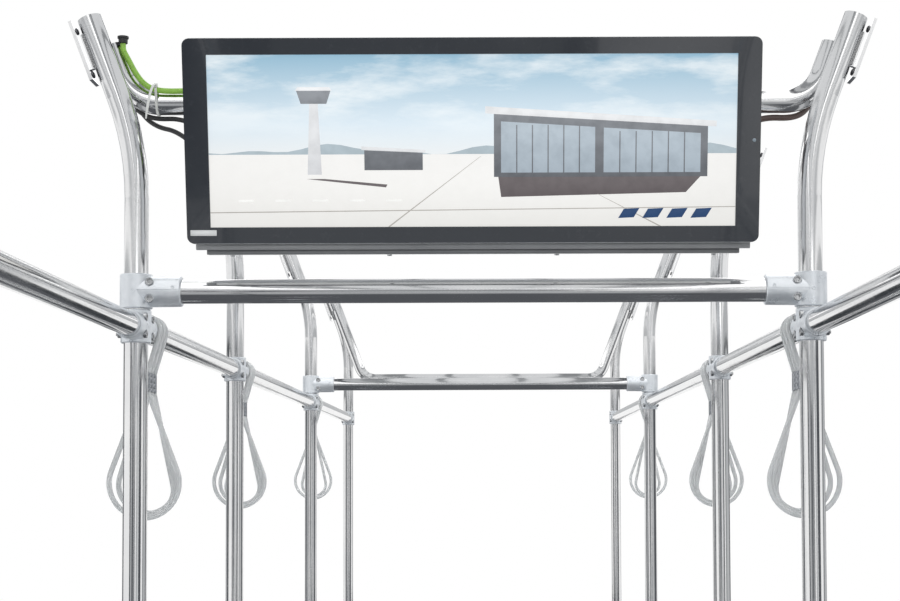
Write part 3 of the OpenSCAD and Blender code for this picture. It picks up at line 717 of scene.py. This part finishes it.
def horseshoe(r, angle):
    """Centre line, as x, z points: a strand, an arc over the top of a circle of radius r, a strand."""
    steps, tail_steps = 56, 10
    half = math.pi / 2 + angle
    arc = [(r * math.sin(half * (2 * k / steps - 1)), r * math.cos(half * (2 * k / steps - 1)))
           for k in range(steps + 1)]
    strand = strand_length(r, angle) / tail_steps
    tail = [(arc[-1][0] - math.sin(angle) * strand * k, arc[-1][1] - math.cos(angle) * strand * k)
            for k in range(1, tail_steps + 1)]
    return [(-x, z) for x, z in reversed(tail)] + arc + tail


def ferrule_from(r, angle):
    """Height from the ring's centre to the end of the ferrule that takes its strands."""
    return (r * math.sin(angle) + strand_length(r, angle) * math.cos(angle) - CORD_R * math.sin(angle)
            - STRAND_BITE)


def twisted_rope(points, radius):
    """Rope of round strands laid round the centre line: one lobed closed tube that turns along it."""
    strands, pitch, lobe = 6, 0.032, 0.14
    sides = strands * 4
    across = Vector((0, 1, 0))
    verts = []
    gone = 0.0
    for i, (p, t) in enumerate(zip(points, directions(points))):
        if i:
            gone += (p - points[i - 1]).length
        other = t.cross(across)
        for k in range(sides):
            flat = 2 * math.pi * k / sides
            a = flat + 2 * math.pi * gone / pitch
            r = radius * (1 - lobe + lobe * abs(math.cos(strands / 2 * flat)))
            verts.append(p + r * (math.cos(a) * across + math.sin(a) * other))
    return verts, tube_faces(len(points), sides)


def resampled(points, step):
    """The same line with points at even distances of about step."""
    lengths = [0.0]
    for a, b in zip(points[:-1], points[1:]):
        lengths.append(lengths[-1] + (b - a).length)
    count = max(2, round(lengths[-1] / step))
    out, j = [], 0
    for k in range(count + 1):
        s = lengths[-1] * k / count
        while j < len(points) - 2 and lengths[j + 1] < s:
            j += 1
        out.append(points[j].lerp(points[j + 1], (s - lengths[j]) / (lengths[j + 1] - lengths[j])))
    return out


def ferrule_outline():
    """Round ends joined by flats, as x, y points anticlockwise."""
    half_t = FERRULE_T / 2
    flat = FERRULE_W / 2 - half_t
    ends, across = 12, 6
    right = [(flat + half_t * math.cos(a), half_t * math.sin(a))
             for a in (math.pi * (k / ends - 0.5) for k in range(ends + 1))]
    top = [(flat * (1 - 2 * k / across), half_t) for k in range(1, across)]
    return right + top + [(-x, -y) for x, y in right] + [(-x, -y) for x, y in top]


def ferrule_mesh(centre, top, bottom):
    """Pressed sleeve for two strands: a groove between the strands, rounded lips and three crimp waists."""
    outline = ferrule_outline()
    levels = 34
    groove, groove_w, waist, lip_len, lip_deep = 0.34, 0.0024, 0.1, 0.0022, 0.24
    crimps, crimp_w = (0.22, 0.5, 0.78), 0.055
    verts = []
    for j in range(levels + 1):
        f = j / levels
        edge = min(f, 1 - f) * (top - bottom)
        lip = 1 - max(0.0, 1 - edge / lip_len) ** 2 * lip_deep
        crimp = sum(math.exp(-((f - at) / crimp_w) ** 2) for at in crimps)
        for x, y in outline:
            squeeze = 1 - waist * crimp - groove * math.exp(-(x / groove_w) ** 2)
            verts.append(centre + Vector((x * (lip + 1) / 2, y * lip * squeeze, bottom + (top - bottom) * f)))
    return verts, tube_faces(levels + 1, len(outline))


def joined(parts):
    """One list of vertices and one of faces from several such pairs."""
    all_verts, all_faces = [], []
    for verts, faces in parts:
        all_faces += [tuple(i + len(all_verts) for i in face) for face in faces]
        all_verts += verts
    return all_verts, all_faces


def make_loops():
    """Each loop is a small ring over the rail and a wide grip below, both ending in the same ferrule."""
    low_wrap = -ferrule_from(WRAP_R, WRAP_ANGLE)
    for joint in frame["joints"]:
        node = joint["child"]
        centre = Vector(joint["pos_m"])
        low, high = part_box(node)
        width_r = (high.x - low.x) / 2 - CORD_R
        r, angle = min(GRIP_KINDS, key=lambda kind: abs(kind[0] - width_r))
        grip_z = low_wrap - FERRULE_LEN - ferrule_from(r, angle)
        wrap = [centre + Vector((x, 0, z)) for x, z in horseshoe(WRAP_R, WRAP_ANGLE)]
        grip = [centre + Vector((x, 0, grip_z - z)) for x, z in horseshoe(r, angle)]
        coats = [sweep(line, CORD_R, 16, (0, 1, 0)) for line in (wrap, grip)]
        ropes = [twisted_rope(resampled(line, ROPE_STEP), ROPE_R) for line in (wrap, grip)]
        coat = add_mesh(node + "_coat", *joined(coats), MATERIALS["coat"])
        rope = add_mesh(node + "_rope", *joined(ropes), MATERIALS["rope"])
        sleeve = add_mesh(node + "_ferrule", *ferrule_mesh(centre, low_wrap, low_wrap - FERRULE_LEN),
                          MATERIALS["sleeve"])
        smooth_by_angle(sleeve, 50)
        for piece in (coat, rope, sleeve):
            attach(piece, node)
        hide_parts(node)


# Screws


def add_cap_screw(bm, origin, direction, spin, head_r=0.0057, head_h=0.0048):
    """Socket-head screw: origin is on its seat, direction points out of the metal."""
    matrix = aim(origin, direction, spin)
    socket_r, socket_deep, chamfer, rim = head_r * 0.52, head_h * 0.6, 0.0006, 0.0003
    sides = 24
    socket = []
    for x, y in polygon(sides, socket_r):
        wedge = (math.atan2(y, x) + math.pi / 6) % (math.pi / 3) - math.pi / 6
        reach = math.cos(math.pi / 6) / math.cos(wedge)
        socket.append((x * reach, y * reach))
    rings = [add_ring(bm, matrix, polygon(sides, r), h)
             for r, h in ((head_r, 0), (head_r, head_h - chamfer), (head_r - chamfer, head_h),
                          (socket_r * 1.12, head_h))]
    rings += [add_ring(bm, matrix, socket, z) for z in (head_h - rim, head_h - socket_deep)]
    bridge(bm, rings)
    bm.faces.new(rings[-1])
    bm.faces.new(rings[0][::-1])


def add_nut(bm, origin, direction, spin):
    """Hexagon nut with the rounded end of its screw standing out."""
    across, height, thread_r, thread_out, edge = 0.010, 0.005, 0.0029, 0.002, 0.0006
    matrix = aim(origin, direction, spin)
    add_prism(bm, polygon(6, across / math.sqrt(3)), 0, height, matrix, edge)
    top = height + thread_out
    add_lathe(bm, [(0, height - 0.001), (thread_r, height - 0.001), (thread_r, top - edge),
                   (thread_r - edge, top), (0, top)], matrix, 16)


def add_flat_screw(bm, origin, direction, head_r, rise, spin):
    """Low domed screw head with a socket; origin is on the surface round it."""
    socket_r, socket_deep, sunk = head_r * 0.42, 0.0011, 0.0006
    add_lathe(bm, [(0, -sunk), (head_r, -sunk), (head_r, rise * 0.35), (head_r * 0.82, rise * 0.8),
                   (head_r * 0.55, rise), (socket_r, rise), (socket_r * 0.9, rise - socket_deep),
                   (0, rise - socket_deep)], aim(origin, direction, spin), 20)


def add_bolt(bm, middle, ahead, reach, spin, nut_spin=None):
    """Cap screw at a distance ahead of the middle of what it clamps, and its nut as far behind."""
    ahead = Vector(ahead)
    add_cap_screw(bm, Vector(middle) + ahead * reach, ahead, spin)
    add_nut(bm, Vector(middle) - ahead * reach, -ahead, spin if nut_spin is None else nut_spin)


def seat_y(r):
    return math.sqrt(r ** 2 - CLAMP_SCREW_Z ** 2) - CLAMP_SEAT_DEPTH


def make_clamp_screws():
    """Socket screws on the faces that the picture shows, nuts on the far ones."""
    bm = bmesh.new()
    turn = 0.3
    for row in (1, 3):
        for side in (-1, 1):
            for dz in (-CLAMP_SCREW_Z, CLAMP_SCREW_Z):
                turn += 0.7
                middle = (side * (POST_X - CLAMP_SCREW_X), ROWS[row], BAR_Z + dz)
                add_bolt(bm, middle, (0, -1, 0), seat_y(TEE_R), turn)
    fix(add_bmesh("tee_screws", bm, MATERIALS["steel"]))
    for side, word in ((-1, "left"), (1, "right")):
        bm = bmesh.new()
        for row, y in enumerate(ROWS):
            for end in [1] if row == 0 else [-1] if row == len(ROWS) - 1 else [-1, 1]:
                for dz in (-CLAMP_SCREW_Z, CLAMP_SCREW_Z):
                    turn += 0.9
                    middle = (side * POST_X, y + end * CLAMP_SCREW_X, RAIL_Z + dz)
                    add_bolt(bm, middle, (-side, 0, 0), seat_y(CROSS_R), turn)
        fix(add_bmesh("cross_screws_" + word, bm, MATERIALS["steel"]))


def make_floor_screws():
    bm = bmesh.new()
    pitch_r, flange_top = 0.036, 0.008
    for y in ROWS:
        for side in (-1, 1):
            for k in range(4):
                a = math.pi / 4 + k * math.pi / 2
                at = (side * POST_X + pitch_r * math.cos(a), y + pitch_r * math.sin(a), flange_top)
                add_flat_screw(bm, at, (0, 0, 1), 0.006, 0.0022, k + y)
    fix(add_bmesh("floor_screws", bm, MATERIALS["steel"]))


# Display details


def flat_piece(name, outline, front, back, material):
    """Thin plate in the display's frame: outline in millimetres, front and back distances in metres."""
    bm = bmesh.new()
    add_prism(bm, [(x / 1000, z / 1000) for x, z in outline], -front, -back,
              DISPLAY @ Matrix.Rotation(math.pi / 2, 4, "X"))
    piece = add_bmesh(name, bm, material)
    fix(piece)
    return piece


def display_height(n):
    """0 at the picture's foot, 1 at its head."""
    height = n.add("SeparateXYZ", Vector=n.coords).outputs["Z"]
    half = SCREEN_H / 2
    return n.ranged(height, in_display(0, 0, -half).z, in_display(0, 0, half).z, 0, 1)


def sky(n):
    """Pale at the horizon and bluer above, with thin clouds drawn out sideways."""
    up = display_height(n)
    cloud = n.noise(9.0, 6.0, 0.6, coords=n.mapped((0.7, 1.0, 2.6)))
    base = n.ramp(up, (0.0, (0.66, 0.68, 0.68)), (0.30, (0.80, 0.80, 0.78)), (0.40, (0.84, 0.86, 0.86)),
                  (0.60, (0.70, 0.80, 0.87)), (1.0, (0.30, 0.50, 0.64)))
    share = n.math("MULTIPLY", n.ranged(cloud, 0.44, 0.66, 0, 0.85), n.ranged(up, 0.45, 0.7, 0, 1))
    return n.mix(share, base, (0.86, 0.91, 0.93))


def graded(low, high, mottle=0.25):
    """Colour that runs from low at the picture's foot to high at its head, a little mottled."""
    def make(n):
        base = n.mix(display_height(n), low, high)
        return n.mix(n.ranged(n.noise(60.0, 3.0), 0.4, 0.7, 0.0, mottle), base, darker(low, 0.7))
    return make


def box_outline(x0, x1, z0, z1):
    return [(x0, z0), (x1, z0), (x1, z1), (x0, z1)]


# Colours of the picture's parts at its foot and at its head
PICTURE_TONES = {
    "hills": graded((0.34, 0.42, 0.46), (0.55, 0.63, 0.68)),
    "ground": graded((0.84, 0.83, 0.80), (1.0, 0.99, 0.98), 0.05),
    "shade": graded((0.10, 0.085, 0.09), (0.30, 0.27, 0.27)),
    "hall": graded((0.06, 0.065, 0.075), (0.36, 0.38, 0.41)),
    "glass": graded((0.30, 0.36, 0.42), (0.62, 0.70, 0.76)),
    "roof": graded((0.70, 0.71, 0.72), (0.92, 0.93, 0.94)),
    "tower": graded((0.62, 0.63, 0.65), (0.88, 0.89, 0.90)),
    "line": graded((0.93, 0.93, 0.90), (0.98, 0.98, 0.96)),
    "joint": graded((0.42, 0.40, 0.37), (0.62, 0.60, 0.56)),
    "navy": graded((0.02, 0.06, 0.16), (0.03, 0.10, 0.26)),
}


def picture_layers(half_w, half_h):
    """The picture's parts from the farthest to the nearest, in millimetres from the middle of the screen."""
    horizon = -18
    hills = [(x, horizon + 7 + 5 * math.sin(x / 41) + 3 * math.sin(x / 17 + 1))
             for x in (half_w * (k / 20 - 1) for k in range(41))]
    layers = [
        ("hills", [(half_w, horizon), (-half_w, horizon)] + hills),
        ("ground", box_outline(-half_w, half_w, -half_h, horizon)),
        ("shade", [(40, -78), (300, -72), (322, -48), (36, -50)]),
        ("hall", [(30, -50), (330, -50), (330, 22), (30, 40)]),
        ("glass", [(40, -44), (172, -44), (172, 19), (40, 27)]),
        ("glass", [(184, -44), (320, -44), (320, 10), (184, 18)]),
        ("roof", [(18, 38), (342, 19), (342, 27), (18, 48)]),
        ("tower", [(-232, -46), (-212, -46), (-216, 52), (-228, 52)]),
        ("hall", [(-240, 52), (-204, 52), (-198, 70), (-246, 70)]),
        ("roof", [(-248, 70), (-196, 70), (-200, 75), (-244, 75)]),
        ("shade", [(-234, -52), (-208, -52), (-120, -60), (-122, -64)]),
        ("hall", [(-152, -40), (-70, -40), (-70, -16), (-152, -12)]),
        ("roof", [(-156, -12), (-66, -16), (-66, -12), (-156, -7)]),
        ("joint", [(-half_w, -98), (-half_w, -99.4), (half_w, -93), (half_w, -91.8)]),
        ("joint", [(-120, -half_h), (-117, -half_h), (12, horizon - 3), (11, horizon - 3)]),
        ("joint", [(262, -half_h), (266, -half_h), (176, -74), (175, -74)]),
    ]
    dash_x, dash_pitch, dash_len = -330, 52, 22
    for x in (dash_x + dash_pitch * k for k in range(5)):
        layers.append(("line", [(x, -84), (x + dash_len, -83.4), (x + dash_len - 1, -80.6), (x, -81)]))
    block_x, block_pitch = 205, 34
    for x in (block_x + block_pitch * k for k in range(4)):
        layers.append(("navy", [(x, -108), (x + 22, -107), (x + 30, -94), (x + 8, -95)]))
    return layers


def make_screen():
    """The lit picture: a made-up airfield with hills, a glazed hall, a tower and marked ground."""
    play, film, step, bar_rise = 0.0003, 0.00001, 0.00002, 0.0005
    half_w, half_h = 1000 * (SCREEN_W / 2 - play), 1000 * (SCREEN_H / 2 - play)
    panel = flat_piece("screen_panel", box_outline(-half_w, half_w, -half_h, half_h), SCREEN_RECESS,
                       BEZEL_T - play, lit_material("picture_sky", sky))
    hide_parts("display_screen")
    paints = {key: lit_material("picture_" + key, tone) for key, tone in PICTURE_TONES.items()}
    for k, (key, outline) in enumerate(picture_layers(half_w, half_h)):
        front = SCREEN_RECESS - step * (k + 1)
        flat_piece("picture_%s_%d" % (key, k), outline, front, front + film, paints[key])
    front, bar_w, bars = SCREEN_RECESS - bar_rise, 1.6, 6
    for k in range(1, bars):
        for x0, x1, z1 in ((40, 172, 22), (184, 320, 13)):
            x = x0 + (x1 - x0) * k / bars
            flat_piece("picture_bar_%d_%d" % (x0, k), box_outline(x - bar_w / 2, x + bar_w / 2, -44, z1),
                       front, front + film, paints["hall"])


def make_label_and_lens():
    flat_piece("blank_label", box_outline(-399, -362, -131, -123), -0.00018, 0.0, MATERIALS["label"])
    lens_x, lens_r, lens_rise, sunk = 0.395, 0.0026, 0.0008, 0.0003
    bm = bmesh.new()
    add_lathe(bm, [(0, -sunk), (lens_r, -sunk), (lens_r, 0.0002), (lens_r - 0.001, 0.0007), (0, lens_rise)],
              aim(in_display(lens_x, 0, 0), -DISPLAY_REAR), 20)
    fix(add_bmesh("sensor_lens", bm, MATERIALS["lens"]))


def make_foot():
    """Light rail, darker channel and its pale cover, as y from the display's face and z from its foot."""
    turned = (DISPLAY @ Matrix.Translation((0, 0, -DISPLAY_H / 2)) @ Matrix.Rotation(math.pi / 2, 4, "Z")
              @ Matrix.Rotation(math.pi / 2, 4, "X"))
    cover = box_outline(0.0225, 0.0455, -0.0173, -0.01685)
    rail = [(0.012, -0.0003), (0.012, -0.0075), (0.0145, -0.0098), (0.048, -0.0098), (0.048, -0.0003)]
    channel = [(0.020, -0.0099), (0.020, -0.0150), (0.022, -CHANNEL_FOOT), (0.046, -CHANNEL_FOOT),
               (0.046, -0.0099)]
    for name, outline, past_housing, material in (("foot_cover", cover, -0.010, "label"),
                                                  ("foot_rail", rail, 0.006, "foot_rail"),
                                                  ("foot_channel", channel, -0.008, "foot_channel")):
        reach = HOUSING_W / 2 + past_housing
        bm = bmesh.new()
        add_prism(bm, outline, -reach, reach, turned)
        fix(add_bmesh(name, bm, MATERIALS[material], 30))


def make_display_screws():
    """Cap screws under the foot channel, the bolts of arms and clamps, the housing's screws."""
    foot_screw_x, foot_screw_y = (-0.345, -0.12, 0.12, 0.345), 0.032
    edge_x, low_z, high_z = HOUSING_W / 2 - 0.012, 0.026 - DISPLAY_H / 2, DISPLAY_H / 2 - 0.010
    bm = bmesh.new()
    for x in foot_screw_x:
        at = in_display(x, foot_screw_y, -DISPLAY_H / 2 - CHANNEL_FOOT)
        add_cap_screw(bm, at, -DISPLAY_UP, x * 9, 0.0036, 0.003)
    clamp_y, clamp_z = CLAMP_AXIS
    for x in (-ARM_X, ARM_X):
        for dx in (-CLAMP_BOLT_X, CLAMP_BOLT_X):
            for dz in (-CLAMP_BOLT_Z, CLAMP_BOLT_Z):
                at = in_display(x + dx, clamp_y, clamp_z + dz)
                add_bolt(bm, at, DISPLAY_REAR, CLAMP_HALF, x + dz, x * 5 + dz)
        for dx in (-ARM_SCREW_X, ARM_SCREW_X):
            for z in ARM_SCREW_Z:
                at = in_display(x + dx, HOUSING_BACK + ARM_FOOT_T, z)
                add_cap_screw(bm, at, DISPLAY_REAR, z + dx, 0.0045, 0.004)
    for x in (edge_x * (k / 2 - 1) for k in range(5)):
        for z in (low_z, high_z):
            if z == high_z or abs(x) > ARM_X:
                add_flat_screw(bm, in_display(x, HOUSING_BACK, z), DISPLAY_REAR, 0.0035, 0.0014, x)
    fix(add_bmesh("display_screws", bm, MATERIALS["steel"]))


# Ties, plate screws, welds and casting marks


def add_tie_band(bm, x, circles, width, thick):
    """Adds a flat band drawn tight round circles that are given as y, z and radius."""
    slack, count = 0.0003, 40
    points = [(y + cy, z + cz) for y, z, r in circles for cy, cz in polygon(count, r + slack)]
    inner = [points[i] for i in convex_hull_2d(points)]
    outer = shrunk(inner, -thick, [sum(c[i] for c in circles) / len(circles) for i in (0, 1)])
    left_in, right_in, left_out, right_out = [[bm.verts.new((x + dx, y, z)) for y, z in ring]
                                              for ring in (inner, outer) for dx in (-width / 2, width / 2)]
    bridge(bm, [left_in, right_in, right_out, left_out, left_in])


def add_tie_tail(bm, head, width, thick):
    """Adds the strap's cut end, which curls out of its head and narrows to its tip."""
    steps, taper_from, taper = 14, 0.85, 0.45
    shares = [k / steps for k in range(steps + 1)]
    line = [head + Vector((-0.0105 * f ** 1.3, -0.002 - 0.016 * math.sin(1.9 * f),
                           0.006 * math.sin(3.0 * f) - 0.054 * f ** 1.5)) for f in shares]
    rings = []
    for q, t, f in zip(line, directions(line), shares):
        side = (Vector((1, 0, 0)) - t * t.x).normalized()
        up = t.cross(side)
        half_w = width / 2 * (1 - taper * max(0.0, f - taper_from) / (1 - taper_from))
        rings.append([bm.verts.new(q + side * a * half_w + up * b * thick / 2)
                      for a, b in ((-1, -1), (1, -1), (1, 1), (-1, 1))])
    bridge(bm, rings)
    bm.faces.new(rings[0][::-1])
    bm.faces.new(rings[-1])


def make_tie():
    """White nylon tie that holds the green cable to the rear hoop, with its head and cut tail."""
    x, width, thick = -0.4665, 0.0036, 0.0011
    at = min(cable_line(GREEN, *GREEN_GLAND), key=lambda q: abs(q.x - x))
    bm = bmesh.new()
    hoop = (DISPLAY_ROW + HOOP_OFFSET, HOOP_BAR_Z, TUBE_R)
    add_tie_band(bm, x, [hoop, (at.y, at.z, GREEN_R)], width, thick)
    head = Vector((x, at.y - 0.0045, at.z + 0.0055))
    block = box_outline(-0.0026, 0.0026, -0.0028, 0.0028)
    add_prism(bm, block, -0.002, 0.0022, aim(head, (0, -0.6, 0.8)), 0.0006)
    add_tie_tail(bm, head, width, thick)
    fix(add_bmesh("cable_tie", bm, MATERIALS["tie"], 35))


def add_bead(bm, a, b, radius, seed):
    """Rippled weld bead along a straight seam."""
    ripple = 0.0011
    count = max(6, round((b - a).length / ripple))
    radii = [radius * (0.9 + 0.12 * math.sin(2.2 * k + seed) + 0.05 * math.sin(0.7 * k + 2 * seed))
             for k in range(count + 1)]
    radii[0] = radii[-1] = radius * 0.5
    verts, faces = sweep([a.lerp(b, k / count) for k in range(count + 1)], radii, 8)
    made = [bm.verts.new(v) for v in verts]
    for face in faces:
        bm.faces.new([made[i] for i in face])


def make_plate_details():
    """Screws and welds of the slanting plates on the posts' tops and on the hoops' legs."""
    bend_x, bend_top = BEND_R * (1 - math.cos(LEAN)), BEND_Z + BEND_R * math.sin(LEAN)
    middle = (POST_TOP - bend_top) / math.cos(LEAN) - PLATE_LEN / 2
    leg_x = bend_x + (HOOP_TOP - bend_top) * math.tan(LEAN) - HOOP_INSET
    screws, welds = bmesh.new(), bmesh.new()
    for side in (-1, 1):
        def leaning(x, y, z):
            turned = Matrix.Translation((POST_X + x, y, z)) @ Matrix.Rotation(LEAN, 4, "Y")
            return Matrix.Diagonal((side, 1, 1, 1)) @ turned
        inward = leaning(0, 0, 0).to_3x3() @ Vector((-1, 0, 0))
        for row, y in enumerate(ROWS):
            post = leaning(bend_x, y, bend_top)
            for end in (-1, 1):
                at = post @ Vector((PLATE_FACE, 0, middle + end * PLATE_HOLE_PITCH / 2))
                add_flat_screw(screws, at, inward, 0.0055, 0.0024, row + end)
            for edge in (-1, 1):
                beside = edge * (PLATE_WEB_T / 2 + 0.0006)
                seam = [post @ Vector((0.0178, beside, middle + half)) for half in (-0.026, 0.026)]
                add_bead(welds, *seam, 0.0014, row + edge)
        for row, end in ((1, 1), (4, -1)):
            leg = leaning(leg_x, ROWS[row] + end * HOOP_OFFSET, HOOP_TOP)
            for z in TAB_HOLES:
                add_flat_screw(screws, leg @ Vector((TAB_FACE, 0, z)), inward, 0.0058, 0.0026, z * 90)
            for edge in (-1, 1):
                seam = [leg @ Vector((0.0172, edge * 0.0052, z)) for z in (-0.0275, -0.001)]
                add_bead(welds, *seam, 0.0013, edge + row)
    fix(add_bmesh("plate_screws", screws, MATERIALS["dark_steel"]))
    fix(add_bmesh("weld_beads", welds, MATERIALS["weld"]))


def add_torus(bm, matrix, radius, thickness):
    """Adds a ring of round section that lies in the x, y plane of the matrix's frame."""
    rings = [[bm.verts.new(matrix @ Vector(((radius + out) * x, (radius + out) * y, up)))
              for out, up in polygon(8, thickness)] for x, y in polygon(28, 1)]
    bridge(bm, rings + rings[:1])


def make_cast_marks():
    """Small raised rings cast on the tees' faces, over the post and on the sleeve."""
    sleeve_mark, sleeve_r, sleeve_rise = 0.0565, 0.0221, 0.0045
    post_ring, sleeve_ring = (0.0024, 0.0007), (0.0018, 0.0005)
    bm = bmesh.new()
    for row in (1, 3):
        for side in (-1, 1):
            for face in (-1, 1):
                post_mark = (side * POST_X, ROWS[row] + face * (TEE_R + 0.0001), BAR_Z)
                bar_mark = (side * (POST_X - sleeve_mark), ROWS[row] + face * sleeve_r, BAR_Z + sleeve_rise)
                add_torus(bm, aim(post_mark, (0, face, 0)), *post_ring)
                add_torus(bm, aim(bar_mark, (0, face, 0)), *sleeve_ring)
    fix(add_bmesh("cast_marks", bm, MATERIALS["cast"]))


bpy.context.scene.view_settings.view_transform = "Standard"
make_camera()
make_cables()
make_stage()
make_reflectors()
make_light()
dress_solids()
make_loops()
make_clamp_screws()
make_floor_screws()
make_screen()
make_label_and_lens()
make_foot()
make_display_screws()
make_tie()
make_plate_details()
make_cast_marks()
